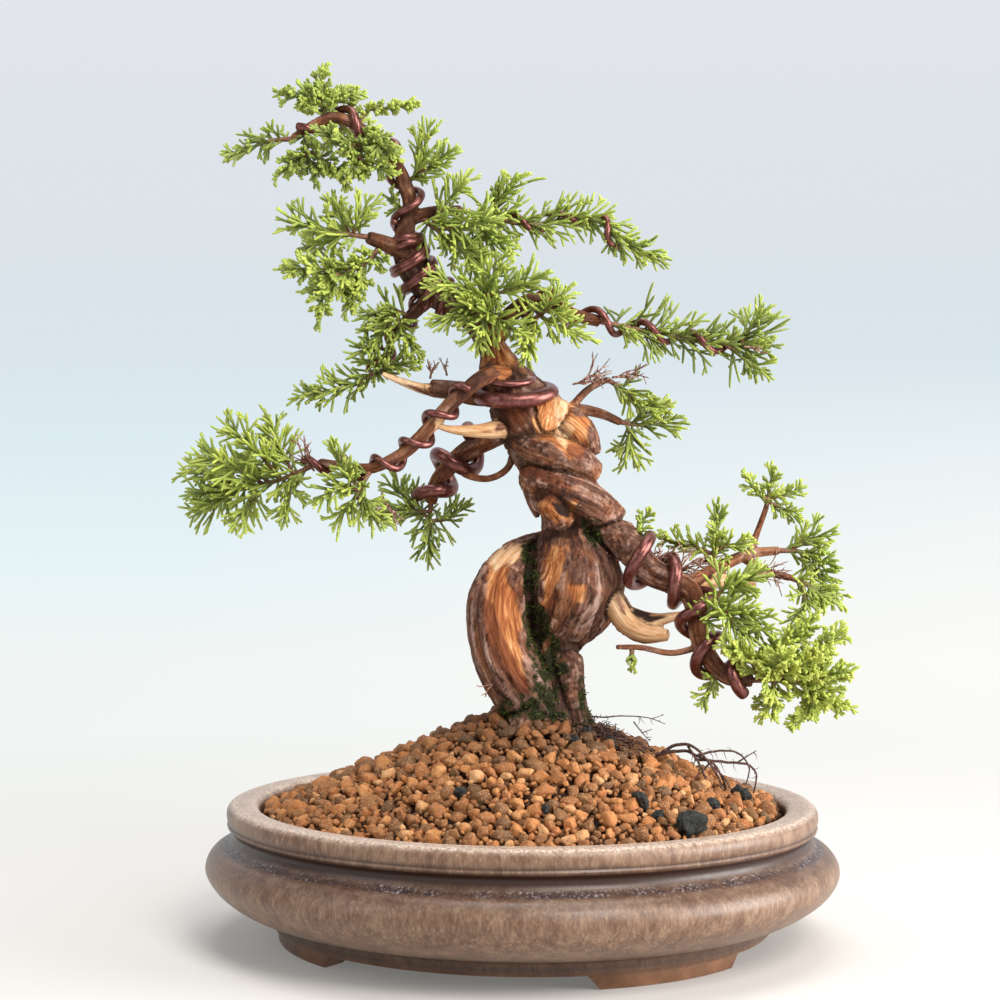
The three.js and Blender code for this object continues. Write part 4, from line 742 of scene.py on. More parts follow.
GLAZE = glaze_material()
NETTING = netting_material()
GRANULES = granule_material()
BARK = bark_material()
WIRE = wire_material()
LEAF = leaf_material()
TWIG = plain_material("dry_twig", 0.25, (0.8, 0.8, 1.6), 4.0, 0.6, 0.85, 0.3,
                      (0.34, 96, 58, 46), (0.5, 146, 104, 88), (0.66, 202, 172, 154))
ROOT = plain_material("roots", 0.25, 0.7, 4.0, 0.6, 0.85, 0.3,
                      (0.3, 36, 24, 22), (0.52, 84, 60, 54), (0.75, 142, 110, 98))
MOSS = plain_material("moss", 0.2, 1.2, 3.0, 0.55, 0.9, 0.2,
                      (0.3, 24, 26, 11), (0.5, 54, 62, 22), (0.7, 116, 124, 48))

# ---------- the pot ----------
# The wall from the underside's edge over the rim to the floor:
# [inset from the belly, height, paler glaze (thin on an edge, and a painted highlight over the rim's top),
# darker glaze (pooled, and painted shade under the rim), bare clay].
WALL = [
    [24, 4.5, 0, 0, 1], [22.8, 4.6, 0, 0, 1], [22.1, 5.2, 0, 0.6, 0.4], [21.9, 6.8, 0, 0.75, 0],
    [21.6, 8.6, 0.25, 0.5, 0], [20.6, 9.4, 0, 0.8, 0], [17, 10.3, 0, 0.5, 0], [12.6, 11.8, 0, 0.15, 0],
    [7.2, 14.8, 0, 0, 0], [3, 18.4, 0, 0, 0], [0.7, 21.8, 0, 0, 0], [0, 24.6, 0, 0.08, 0],
    [0.9, 27.6, 0, 0.25, 0], [2.6, 29.8, 0, 0.5, 0], [4.2, 30.9, 0.3, 0.45, 0], [5.6, 31.4, 0.2, 0.5, 0],
    [6.4, 31.9, 0, 0.8, 0], [7.0, 32.2, 0.1, 0.5, 0], [7.9, 32.8, 0.4, 0.4, 0], [8.6, 33.8, 0.1, 0.8, 0],
    [9, 35, 0, 1, 0], [8.8, 36.4, 0, 1, 0], [8.0, 37.2, 0, 1, 0], [7.3, 37.8, 0.1, 0.6, 0],
    [7.1, 38.6, 0.25, 0.1, 0], [7.5, 39.3, 0, 0.85, 0], [7.1, 40, 0.1, 0.1, 0], [6.9, 41.4, 0, 0, 0],
    [7.0, 42.8, 0.05, 0, 0], [7.5, 44, 0.4, 0, 0], [8.6, 44.8, 0.9, 0, 0], [10, 45, 0.8, 0, 0],
    [12.4, 45, 0.7, 0, 0], [14.8, 44.9, 0.8, 0, 0], [16.2, 44.5, 0.9, 0, 0], [17.1, 43.6, 0.5, 0, 0],
    [17.6, 42, 0.1, 0, 0], [17, 38, 0, 0, 0], [15, 34, 0, 0, 0], [12, 27, 0, 0, 0], [10.4, 23, 0, 0, 0],
    [12, 16, 0, 0, 0.4], [20, 10.4, 0, 0, 0.8], [24, 9.5, 0, 0, 1],
]
WALL_VALUES = ("edge", "pooled_glaze_and_shade", "bare")
WALL_RINGS, WALL_SIDES = 150, 240
# The groove over the belly, where dark glaze lies: its lower and its upper edge fade over these.
INK = {"share": 0.75, "low": (31.0, 31.6), "high": (33.4, 32.8), "outer": 12}
FOOT = {"inset": 23.6, "depth": 10, "middle": 38, "spread": 22, "steps": 16, "top": UNDER + 0.9}
# A foot's outline going up: [height, how far it is pulled in by the rounding of its lower edge].
FOOT_LEVELS = [(0.0, 1.1), (0.25, 0.5), (0.8, 0.25), (FOOT["top"], 0)]
DRAIN = {"out": 40, "radius": 9, "sides": 48}
SHARP_EDGE = math.radians(38)


def oval(radius, angle):
    """A place on the pot's oval, whose squeeze fades out towards its middle."""
    squeezed = radius - (POT_LONG - POT_SHORT) * np.minimum(1, radius / 60)
    return radius * np.cos(angle), squeezed * np.sin(angle)


def pot_body():
    wall = np.array(WALL, float)
    path = Path(np.column_stack([wall[:, :2], np.zeros(len(wall))]))
    walk = np.linspace(0, 1, WALL_RINGS)
    inset, level = path.at(walk)[0][:, :2].T
    marks = path.walk[::SPAN_STEPS] / path.length
    values = {name: np.interp(walk, marks, column) for name, column in zip(WALL_VALUES, wall[:, 2:].T)}
    groove = smooth(*INK["low"], level) * smooth(*INK["high"], level) * (inset < INK["outer"])
    values["ink"] = INK["share"] * groove
    x, y = oval((POT_LONG - inset)[:, None], circle(WALL_SIDES)[None, :])
    z = np.repeat(level[:, None], WALL_SIDES, axis=1)
    # Slow swells and fine throwing ridges, fading in above the pot's foot.
    swell = noise(np.stack([x / 34, y / 34, z / 14], axis=-1), 3) * 0.28
    ridges = noise(np.stack([x / 160, y / 160, z / 1.9], axis=-1), 4) * 0.1
    out = unit(np.stack([x, y, np.zeros_like(z)], axis=-1))
    corners = np.stack([x, y, z], axis=-1) + out * ((swell + ridges) * smooth(9, 13, z))[..., None]
    quads, caps = tube_faces(WALL_RINGS, WALL_SIDES)
    ends = np.array([[0, 0, WALL[0][1]], [0, 0, WALL[-1][1]]])
    spread = {name: np.concatenate([np.repeat(each, WALL_SIDES), [1, 1]]) for name, each in values.items()}
    corners = np.vstack([corners.reshape(-1, 3), ends])
    return make_mesh("pot", corners, quads[:, ::-1], caps[:, ::-1], **spread)


def pot_feet():
    soup = Soup()
    middle, steps, half = FOOT["middle"], FOOT["steps"], FOOT["spread"]
    radius = np.full(steps + 1, POT_LONG - FOOT["inset"])
    for facing in (middle, 180 - middle, 180 + middle, 360 - middle):
        rows = []
        for height, pulled in FOOT_LEVELS:
            slant = 0.84 + 0.16 * height / FOOT["top"]
            turn = np.radians(facing + np.linspace(-half, half, steps + 1) * slant)
            back = np.radians(facing + np.linspace(half - 2, 2 - half, steps + 1) * slant)
            outer = oval(radius - pulled, turn)
            inner = oval(radius - FOOT["depth"] + pulled, back)
            ring = np.concatenate([np.stack(outer, 1), np.stack(inner, 1)])
            rows.append(np.column_stack([ring, np.full(len(ring), height)]))
        sides = len(rows[0])
        base = (len(rows) - 1) * sides
        low = np.array([[sides - 1 - i, sides - 2 - i, i + 1, i] for i in range(steps)])
        high = base + low[:, [1, 0, 3, 2]]
        quads = np.vstack([tube_faces(len(rows), sides)[0], low, high])
        soup.add(np.vstack(rows), quads, bare=1.0, edge=0.0, pooled_glaze_and_shade=0.0, ink=0.0)
    return soup.build("pot_feet")


def work_in(body, helper, operation):
    change = body.modifiers.new(operation, "BOOLEAN")
    change.operation, change.object, change.solver = operation, helper, "EXACT"
    return helper


def pot():
    body = pot_body()
    helpers = [work_in(body, pot_feet(), "UNION")]
    for side in (-1, 1):
        at = (side * DRAIN["out"] * MM, 0, 0)
        bpy.ops.mesh.primitive_cylinder_add(
            vertices=DRAIN["sides"], radius=DRAIN["radius"] * MM, depth=0.04, location=at
        )
        helpers.append(work_in(body, bpy.context.object, "DIFFERENCE"))
    baked(body)
    for helper in helpers:
        bpy.data.objects.remove(helper)
    shade_smooth(body.data)
    body.data.set_sharp_from_angle(angle=SHARP_EDGE)
    dress(body, GLAZE, "pot")


pot()
for node in ("drain_screen_left", "drain_screen_right"):
    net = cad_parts[node]
    net.data.materials.clear()
    net.data.materials.append(NETTING)

# ---------- the soil ----------
SOIL_INSET = 18  # from the pot's outside to the soil's edge
# Grains: the sizes of the smallest and the largest, the places tried, and how far in they stop.
BIG_GRAINS = ((3.3, 6.2), 36000, 21.2)
UNDER_GRAINS = ((2.6, 4.0), 14000, 20.4)
FINE_GRAINS = ((1.4, 2.7), 16000, 20)
FINES_CLEAR = 2.2  # the size that a big grain counts as for the fine ones round it
CELL = 4.0  # the grid's step, in which a grain looks for its neighbours
NEARBY = [(i, j) for i in (-2, -1, 0, 1, 2) for j in (-2, -1, 0, 1, 2)]
BED = {"rings": 60, "sides": 160, "inset": 18.2, "depth": 3.0, "rough": 0.7, "floor": 34}
TRUNK_SHADE = (48, 10)  # from the trunk, where painted shade on the soil begins and where it is full


def mound(x, y):
    """The soil's height at a place."""
    long, short = POT_LONG - SOIL_INSET, POT_SHORT - SOIL_INSET
    reach = np.hypot((x - PEAK_AT[0]) / long, (y - PEAK_AT[1]) / short)
    return SOIL_EDGE + (SOIL_PEAK - SOIL_EDGE) * (1 - np.minimum(1, reach))


def ball(steps):
    """Corners and triangles of a unit sphere of subdivided triangles."""
    bpy.ops.mesh.primitive_ico_sphere_add(subdivisions=steps, radius=1)
    piece = bpy.context.object
    corners = corner_field(piece.data, "co")
    tris = np.zeros(len(piece.data.polygons) * 3, np.int32)
    piece.data.polygons.foreach_get("vertices", tris)
    bpy.data.objects.remove(piece)
    return corners, tris.reshape(-1, 3).astype(int)


FINE_BALL, MID_BALL, COARSE_BALL = ball(4), ball(3), ball(2)


def lump_shape(sphere, seed, facets=12, sharp=40.0, rough=0.05):
    """A rounded lump with worn facets, about one across."""
    local = np.random.default_rng(seed)
    away = unit(local.normal(size=(facets, 3)))
    depth = local.uniform(0.68, 1.02, facets)
    towards = np.maximum(sphere @ away.T, 0) / depth
    radius = (np.sum(towards**sharp, axis=1) + 1e-6) ** (-1 / sharp)
    radius = np.clip(radius, 0.6, 1.3)
    radius += rough * rough_noise(sphere * 2.4 + seed, seed)
    return sphere * radius[:, None] * 0.5


def turned(count, generator):
    """Random turns as matrices."""
    w, x, y, z = unit(generator.normal(size=(count, 4))).T
    rows = [
        [1 - 2 * (y * y + z * z), 2 * (x * y - z * w), 2 * (x * z + y * w)],
        [2 * (x * y + z * w), 1 - 2 * (x * x + z * z), 2 * (y * z - x * w)],
        [2 * (x * z - y * w), 2 * (y * z + x * w), 1 - 2 * (x * x + y * y)],
    ]
    return np.moveaxis(np.array(rows), -1, 0)


def scatter(sizes, tries, margin, generator, taken=(), keep_off=0.0):
    """Grains over the mound, as place and size, that stand clear of each other and of those taken."""
    grid = {}
    chosen = []
    for x, y, _ in taken:
        grid.setdefault((int(x // CELL), int(y // CELL)), []).append((x, y, keep_off))
    for _ in range(tries):
        angle, out = generator.uniform(0, 2 * math.pi), math.sqrt(generator.uniform())
        x, y = (float(each) for each in oval((POT_LONG - margin) * out, angle))
        size = generator.uniform(*sizes)
        home = (int(x // CELL), int(y // CELL))
        near = [each for i, j in NEARBY for each in grid.get((home[0] + i, home[1] + j), ())]
        if any((x - p[0]) ** 2 + (y - p[1]) ** 2 < (0.5 * (size + p[2])) ** 2 for p in near):
            continue
        grid.setdefault(home, []).append((x, y, size))
        chosen.append((x, y, size))
    return np.array(chosen)


def lay_grains(name, spots, lift, sphere, shapes, generator, tint=(0, 1), deep=0.0):
    """A piece of grains on the mound, each lifted by a part of its size."""
    soup = Soup()
    turns = turned(len(spots), generator)
    kinds = generator.integers(0, len(shapes), len(spots))
    stretch = generator.uniform(0.78, 1.25, (len(spots), 3)) * [1, 1, 0.86]
    colours = generator.uniform(*tint, len(spots))
    for (x, y, size), turn, kind, wide, colour in zip(spots, turns, kinds, stretch, colours):
        shape = (shapes[kind] * wide) @ turn.T * size
        centre = np.array([x, y, mound(x, y) + lift * size])
        # Painted shade on the soil round the trunk: darker tints and more of the dark deep colour.
        trunk_shade = float(smooth(*TRUNK_SHADE, math.hypot(x, y)))
        values = {"tint": colour - 0.15 * trunk_shade, "char": 0.0, "deep": max(deep, 0.5 * trunk_shade)}
        soup.add(shape + centre, tris=sphere[1], **values)
    dress(soup.build(name), GRANULES, "soil")


def soil_bed():
    """The ground under the grains, painted dark as the shade in the gaps between them."""
    rings, sides, floor = BED["rings"], BED["sides"], BED["floor"]
    out = np.linspace(0.004, 1, rings)
    x, y = oval(((POT_LONG - BED["inset"]) * out)[:, None], circle(sides)[None, :])
    rough = rough_noise(np.stack([x / 3, y / 3, x * 0], axis=-1), 5)
    z = mound(x, y) - BED["depth"] + BED["rough"] * rough
    top = np.stack([x, y, z], axis=-1).reshape(-1, 3)
    low = top[-sides:] * [1, 1, 0] + [0, 0, floor]
    ends = np.array([[0, 0, mound(0.0, 0.0) - 2.4], [0, 0, floor]])
    soup = Soup()
    soup.add(np.vstack([top, low, ends]), *tube_faces(rings + 1, sides), tint=0.2, char=0.0, deep=1.0)
    dress(soup.build("soil_bed"), GRANULES)


def soil():
    generator = np.random.default_rng(SEEDS["soil"])
    middling = MID_BALL, [lump_shape(MID_BALL[0], 40 + k) for k in range(14)], generator
    plain = COARSE_BALL, [lump_shape(COARSE_BALL[0], 70 + k) for k in range(10)], generator
    big = scatter(*BIG_GRAINS, generator)
    middle = scatter(*UNDER_GRAINS, generator)
    small = scatter(*FINE_GRAINS, generator, big, FINES_CLEAR)
    soil_bed()
    for k, group in enumerate(np.array_split(big[np.argsort(np.arctan2(big[:, 1], big[:, 0]))], 5)):
        lay_grains(f"soil_grains_{k + 1}", group, -0.08, *middling)
    # The lower layer, in darker tints: painted shade under the grains above it.
    lay_grains("soil_under", middle, -0.7, *plain, (0, 0.75), 0.6)
    for k, group in enumerate(np.array_split(small, 2)):
        lay_grains(f"soil_fines_{k + 1}", group, -0.1, *plain, (0.1, 1))


soil()

# ---------- the wood ----------
# Limbs with thick bark, dead limbs that have lost it, and limbs folded against one another.
THICK = ("trunk", "left_lobe", "low_coil", "high_coil", "top_ridge", "sawn_stub", "torn_stub", "right_root",
         "front_root", "back_root", "left_root")
DEAD = ("fork_jin", "fork_prong", "pale_stub", "left_splinter", "left_jin")
FOLDED = ("trunk", "left_lobe", "low_coil", "high_coil", "top_ridge", "right_root", "torn_stub")
NAMES = list(WOOD)
VOXEL = 0.55  # the cell of the wood's mesh
FIBRE_STRETCH, LIMB_SHIFT = 0.13, 31.7  # of the fibre along a limb, and from one limb to the next
PLATE, SMALL_PLATE = [3.1, 3.1, 2.7], [0.4, 0.4, 0.5]  # bark plates on a limb, and smaller ones on each
THICK_LIMB = 9  # the radius whose bark has its full relief
MOSSY = (84, 68)  # heights between which moss begins and is everywhere it can be
AGED = (150, 178)  # heights between which the bark turns darker
# The torn face of the short stub under the thick wire: a point on it and the way it looks.
TORN_FACE = {"at": [9, 172, -11.4], "looks": [0.4, 0.1, -1]}
# Bare, weathered and mossy places on the tree's front, and hollows painted dark as shade, as outlines on the
# sheet: three units to the millimetre, counted from ORIGIN, to the right and down.
UNITS, ORIGIN = 3, (521, 936)
BARE_WOOD = {
    "raw": [
        [(486, 560), (500, 548), (527, 546), (519, 554), (510, 561), (507, 576), (516, 592), (522, 619),
         (521, 638), (523, 662), (529, 684), (520, 688), (506, 668), (500, 653), (490, 638), (486, 600)],
        [(547, 546), (567, 546), (560, 575), (548, 600), (546, 622), (541, 612), (543, 580)],
        [(566, 584), (590, 584), (588, 604), (572, 606)],
        [(480, 326), (516, 330), (514, 378), (502, 380), (490, 360), (478, 372)],
        [(538, 502), (578, 502), (576, 520), (556, 524), (540, 516)],
        [(548, 414), (590, 420), (586, 452), (570, 462), (552, 444)],
        [(534, 394), (574, 394), (572, 446), (536, 442)],
    ],
    "pale": [
        [(484, 548), (527, 542), (521, 556), (508, 566), (490, 572)],
        [(555, 396), (570, 396), (563, 420), (553, 418)],
        [(616, 592), (684, 600), (690, 640), (630, 640)],
        [(372, 362), (430, 376), (428, 392), (372, 380)],
        [(436, 416), (500, 420), (498, 436), (436, 434)],
        [(556, 420), (572, 430), (566, 450), (556, 440)],
        [(714, 572), (760, 572), (760, 592), (714, 592)],
    ],
    "rust": [
        [(484, 596), (492, 606), (506, 640), (522, 672), (532, 690), (524, 700), (508, 686), (492, 656),
         (480, 620)],
        [(524, 486), (560, 494), (566, 504), (540, 502)],
        [(518, 466), (545, 468), (574, 484), (570, 492), (540, 484), (520, 478)],
        [(500, 400), (530, 404), (526, 424), (512, 436), (500, 420)],
        [(548, 600), (560, 590), (556, 612), (546, 628)],
        [(566, 440), (588, 446), (584, 462), (566, 458)],
    ],
    "moss": [
        [(582, 521), (601, 521), (601, 549), (586, 549)],
        [(528, 600), (548, 610), (562, 650), (552, 691), (560, 733), (500, 716), (497, 700), (530, 690),
         (526, 640)],
        [(579, 676), (590, 676), (590, 711), (579, 711)],
        [(546, 650), (562, 652), (572, 670), (562, 700), (566, 728), (548, 734)],
        [(522, 543), (535, 545), (538, 580), (536, 620), (545, 660), (534, 680), (526, 640), (524, 590)],
    ],
    "dark": [
        [(527, 548), (536, 556), (534, 590), (545, 620), (541, 650), (530, 640), (526, 600)],
        [(552, 504), (568, 504), (570, 518), (556, 520)],
        [(626, 598), (640, 600), (652, 614), (668, 618), (650, 624), (634, 614)],
    ],
}


def limb_path(name):
    points = np.array(WOOD[name], float)
    return Path(seen(points), points[:, 3], 16)


def torn(corners):
    """Corners beyond the torn face, moved back on it."""
    at = np.array(TORN_FACE["at"])
    start, ahead = seen([at, at + TORN_FACE["looks"]])
    facing = unit(ahead - start)
    beyond = np.maximum(0, (corners - start) @ facing)
    rough = 0.5 * rough_noise(corners / 2.2, 9, 2)
    return corners - facing * (beyond * (1 + 0.12 * rough))[:, None]


def wood_tubes():
    soup = Soup()
    for name in WOOD:
        path = limb_path(name)
        sides = 24 if path.widths.max() > 5 else 12
        corners, quads, caps = tube(path, max(8, int(path.length / 1.2)), sides)
        soup.add(torn(corners) if name == "sawn_stub" else corners, quads, caps)
    return soup.build("trunk_and_limbs")


class Limbs:
    """Samples along every limb, to find where on which limb a point of the bark lies."""

    def __init__(self):
        samples = []
        for order, name in enumerate(WOOD):
            path = limb_path(name)
            parts = np.linspace(0, 1, max(6, int(path.length / 0.9)))
            samples.append((*path.at(parts), parts * path.length, np.full(len(parts), order)))
        (self.places, self.widths, self.tangents, self.normals, self.binormals, self.along,
         self.order) = map(np.concatenate, zip(*samples))

    def find(self, points):
        """For each point: the nearest sample, how far along and round it lies, and the next limb's gap."""
        nearest = np.zeros(len(points), int)
        second = np.zeros(len(points))
        places, widths = self.places.astype(np.float32), self.widths.astype(np.float32)
        for start in range(0, len(points), 4000):
            part = slice(start, start + 4000)
            chunk = points[part].astype(np.float32)
            square = np.sum(chunk**2, 1)[:, None] - 2 * chunk @ places.T + np.sum(places**2, 1)
            gap = np.sqrt(np.maximum(square, 0)) - widths
            best = np.argmin(gap, axis=1)
            nearest[part] = best
            gap[self.order[best][:, None] == self.order[None]] = 99
            second[part] = gap.min(axis=1)
        arm = points - self.places[nearest]
        along = self.along[nearest] + dot(arm, self.tangents[nearest])
        sides = dot(arm, self.normals[nearest]), dot(arm, self.binormals[nearest])
        return nearest, along, sides, second


LIMBS = Limbs()


def outline_depth(points, outline):
    """How far points lie inside an outline, in its units; negative outside."""
    outline = np.array(outline, float)
    ahead = np.roll(outline, -1, axis=0)
    span = ahead - outline
    arm = points[:, None] - outline[None]
    t = np.clip(np.sum(arm * span, axis=-1) / np.sum(span * span, axis=-1), 0, 1)
    gap = np.linalg.norm(arm - t[..., None] * span, axis=-1).min(axis=1)
    a, b = outline[None], ahead[None]
    x, y = points[:, None, 0], points[:, None, 1]
    rising = (a[..., 1] > y) != (b[..., 1] > y)
    slope = np.where(np.abs(b[..., 1] - a[..., 1]) < 1e-9, 1e-9, b[..., 1] - a[..., 1])
    crossing = rising & (x < (b[..., 0] - a[..., 0]) * (y - a[..., 1]) / slope + a[..., 0])
    inside = crossing.sum(axis=1) % 2 == 1
    return np.where(inside, gap, -gap)


def among(order, names):
    return np.isin(order, [NAMES.index(name) for name in names])


def weathering_and_shade(corners, normals, order, fibre, ragged):
    """How raw, pale, rusty and mossy the wood is at its corners, and where its hollows are painted dark as
    shade.
    """
    sheet = sheet_of(corners)
    spots = np.column_stack([ORIGIN[0] + UNITS * sheet[:, 0], ORIGIN[1] - UNITS * sheet[:, 1]])
    front = smooth(-0.15, 0.25, dot(normals, unit(EYE_AT - corners)))
    masks = {}
    for kind, outlines in BARE_WOOD.items():
        depths = [outline_depth(spots, outline) + ragged * 3.2 for outline in outlines]
        masks[kind] = smooth(-1.5, 2.0, np.max(depths, axis=0)) * front
    masks["pale"] = np.maximum(masks["pale"], among(order, DEAD) * smooth(-0.75, -0.2, ragged))
    # Bare streaks run on round the sides and the back.
    streak = rough_noise(fibre / [4.2, 4.2, 2.6], 14, 2)
    streak = smooth(0.42, 0.6, streak) * among(order, THICK) * (1 - 0.7 * front)
    masks["raw"] = np.maximum(masks["raw"], streak)
    low = smooth(*MOSSY, corners[:, 2])
    shaded = smooth(0.2, 0.75, rough_noise(corners / 6, 15) + 0.5 * low)
    tufted = smooth(-0.5, 0.1, rough_noise(corners / 2.2, 16))
    masks["moss"] = np.maximum(masks["moss"] * tufted, low * shaded)
    return masks


def wood():
    """The trunk and its limbs; returns its corners, their normals and how mossy they are."""
    piece = wood_tubes()
    remesh = piece.modifiers.new("remesh", "REMESH")
    remesh.mode, remesh.voxel_size = "VOXEL", VOXEL * MM
    baked(piece)
    mesh = piece.data
    shade_smooth(mesh)
    corners, normals = corner_field(mesh, "co") / MM, corner_field(mesh, "normal")
    nearest, along, sides, second = LIMBS.find(corners)
    width = LIMBS.widths[nearest]
    order = LIMBS.order[nearest]
    angle = np.arctan2(sides[1], sides[0])
    # The fibre's coordinates: across the limb by its bark's angle, and stretched out along it.
    strand = along * FIBRE_STRETCH + order * LIMB_SHIFT
    fibre = np.stack([np.cos(angle) * width, np.sin(angle) * width, strand], axis=1)
    stub = among(order, ["sawn_stub"])[:, None]
    fibre = np.where(stub, np.stack([*sides, strand], axis=1), fibre)
    ragged = rough_noise(fibre / 1.6, 12)
    masks = weathering_and_shade(corners, normals, order, fibre, ragged)
    bare = np.maximum(masks["raw"], masks["pale"])
    # Plates of bark with cracks between them, and smaller ones on each.
    size = np.clip(width / THICK_LIMB, 0.12, 1)
    scale = np.clip(width / THICK_LIMB, 0.55, 1.1)[:, None] * PLATE
    warp = rough_noise(corners / 7, 11)[:, None] * 0.8
    border, own = plates(fibre / scale + warp * 0.45, 17)
    small_border, small_own = plates(fibre / (scale * SMALL_PLATE) + warp * 0.6, 27)
    cracks = smooth(0.13, 0.01, border) * smooth(-0.35, 0.35, rough_noise(corners / 9, 22))
    fine_cracks = smooth(0.2, 0.03, small_border)
    strands = rough_noise(fibre / 0.7, 18, 2)
    ridges = rough_noise(fibre / [4.4, 4.4, 1.6], 21, 2)
    flakes = 0.3 * (own - 0.4) + 0.2 * (small_own - 0.5) - 0.14 * fine_cracks + 0.5 * ridges
    lift = size * (0.3 + flakes - 0.55 * cracks + 0.15 * strands) * (1 - bare)
    lift += size * bare * (0.17 * strands - 0.5 + 0.4 * rough_noise(fibre / 2.6, 19, 2))
    lift += 0.35 * masks["moss"] * rough_noise(corners / 0.8, 20, 2) - 0.9 * size * masks["dark"]
    lift *= np.clip(width / 2.2, 0.15, 1)
    flat_end = smooth(0.72, 0.92, np.abs(dot(normals, LIMBS.tangents[nearest])))
    lift *= 1 - 0.85 * flat_end
    crease = smooth(1.7, -0.3, second + 0.5 * ragged) * among(order, FOLDED)
    lift -= 0.16 * size + 1.25 * crease
    corners = corners + normals * lift[:, None]
    mesh.vertices.foreach_set("co", (corners * MM).astype(np.float32).ravel())
    mesh.update()
    # Painted shade: dark in the bark's cracks, in the creases between folded limbs and in hollows; the bark
    # also darkens higher up.
    cracked = (0.75 * cracks + 0.2 * fine_cracks) * (1 - bare) * np.clip(size * 1.4, 0, 1)
    aged = smooth(*AGED, corners[:, 2]) * smooth(-0.7, 0.3, rough_noise(corners / 5, 24)) * (1 - bare)
    dark = np.max([masks["dark"], cracked, 0.75 * crease, 0.55 * aged], axis=0)
    across_grain = (flat_end > 0.5)[:, None]
    write_value(mesh, "fibre", np.where(across_grain, corners * [0.4, 0.4, 0.12], fibre))
    write_value(mesh, "own", 0.6 * own + 0.4 * small_own)
    write_value(mesh, "rust", masks["rust"])
    write_value(mesh, "raw", masks["raw"] * (1 - masks["pale"]))
    write_value(mesh, "pale", masks["pale"])
    write_value(mesh, "moss", masks["moss"])
    write_value(mesh, "dark", np.clip(dark, 0, 1))
    write_value(mesh, "warm", np.where(width < 4.5, 0.2, 0.0) - 0.15 * smooth(110, 70, corners[:, 2]))
    dress(piece, BARK, "trunk_and_limbs")
    return corners, normals, masks["moss"]


WOOD_SKIN = wood()

# ---------- the training wires ----------
LEAFY_STEM = 1.15  # the radius of a leafy stem that a wire runs on along
WIRE_SIDES = 14  # corners round a wire, and its points in each turn


def with_stem(limb, spray):
    return WOOD[limb] + [[*point, LEAFY_STEM] for point in SPRAYS[spray][1][0][1:]]


# Each wire: its radius, its host, the slack it stands off with, its first angle, and its windings,
# each a stretch of the host, from and to as parts of its length, with the turns made along it.
WIRES = {
    "wire_low_limb": (2.1, WOOD["low_limb"], 0.9, 1.2, [(0.14, 0.97, 5)]),
    "wire_left_limb": (1.25, with_stem("left_limb", "left_pad"), 0.1, 1.78, [(0.165, 0.7, 5.43)]),
    "wire_back_left_limb": (2.4, WOOD["back_left_limb"], 1.2, 0.5, [(0.3, 0.95, 2.1)]),
    "wire_leader": (1.35, WOOD["leader"], 0.8, 0.7, [(0.22, 0.44, 4.4), (0.44, 0.97, 3.6)]),
    "wire_leader_second": (1.3, WOOD["leader"], 0.8, 3.9, [(0.2, 0.47, 5.2)]),
    "wire_long_limb": (1.2, with_stem("long_limb", "long_limb"), 0.8, 1, [(0.14, 0.88, 4.4)]),
    "wire_top_right": (1.0, with_stem("top_right_limb", "top_right"), 0.5, 1, [(0.36, 0.88, 3)]),
    "wire_mid_left": (1.0, with_stem("mid_left_limb", "mid_left"), 0.5, 1, [(0.1, 0.6, 2.2)]),
}
# The thick wire that grips the trunk from the front, and the thin one above it: [across, up, deep].
TRUNK_GRIP = [
    [5, 182.6, 6], [9.4, 181.6, 0], [9.6, 180.4, -6.6], [5, 178.8, -11.6], [-1.6, 178, -13.2],
    [-8, 178.2, -12.2], [-13, 179.2, -7.2], [-14.4, 181.4, -0.8], [-12.4, 184, 5.4], [-7, 186, 9.4],
]
THIN_GRIP = [
    [-3, 189, 9], [2, 188, 7], [4, 185.6, 0], [2.6, 184.4, -7], [-2, 183.6, -10.6], [-7, 183.8, -11],
    [-11.4, 185.4, -8.4], [-13.6, 187.4, -5],
]


def draw_wire(name, points, radius, samples, step, replaces=None):
    lay = Path(points, np.full(len(points), radius), samples)
    soup = Soup()
    soup.add(*tube(lay, int(lay.length / step), WIRE_SIDES, round_end=False))
    dress(soup.build(name), WIRE, replaces)


def wound(radius, host, slack, phase, windings):
    """Points of a wire wound round its host."""
    host = np.array(host, float)
    path = Path(seen(host), host[:, 3])
    points, angle = [], phase
    for first, last, turns in windings:
        part = np.linspace(0, 1, int(turns * WIRE_SIDES) + 1)[1 if points else 0 :]
        places, widths, _, normals, binormals = path.at(first + (last - first) * part)
        turn = (angle + WHOLE_TURN * turns * part)[:, None]
        away = (widths + radius + 0.1 + 0.3 * slack)[:, None]
        points.append(places + normals * away * np.cos(turn) + binormals * away * np.sin(turn))
        angle += WHOLE_TURN * turns
    return np.vstack(points)


for name, how in WIRES.items():
    draw_wire(name, wound(*how), how[0], 4, 0.9, None if name == "wire_leader_second" else name)
draw_wire("wire_trunk", seen(TRUNK_GRIP), 2.6, 12, 0.7, "wire_trunk")
draw_wire("wire_thin_turn", seen(THIN_GRIP), 1.25, 12, 0.7)

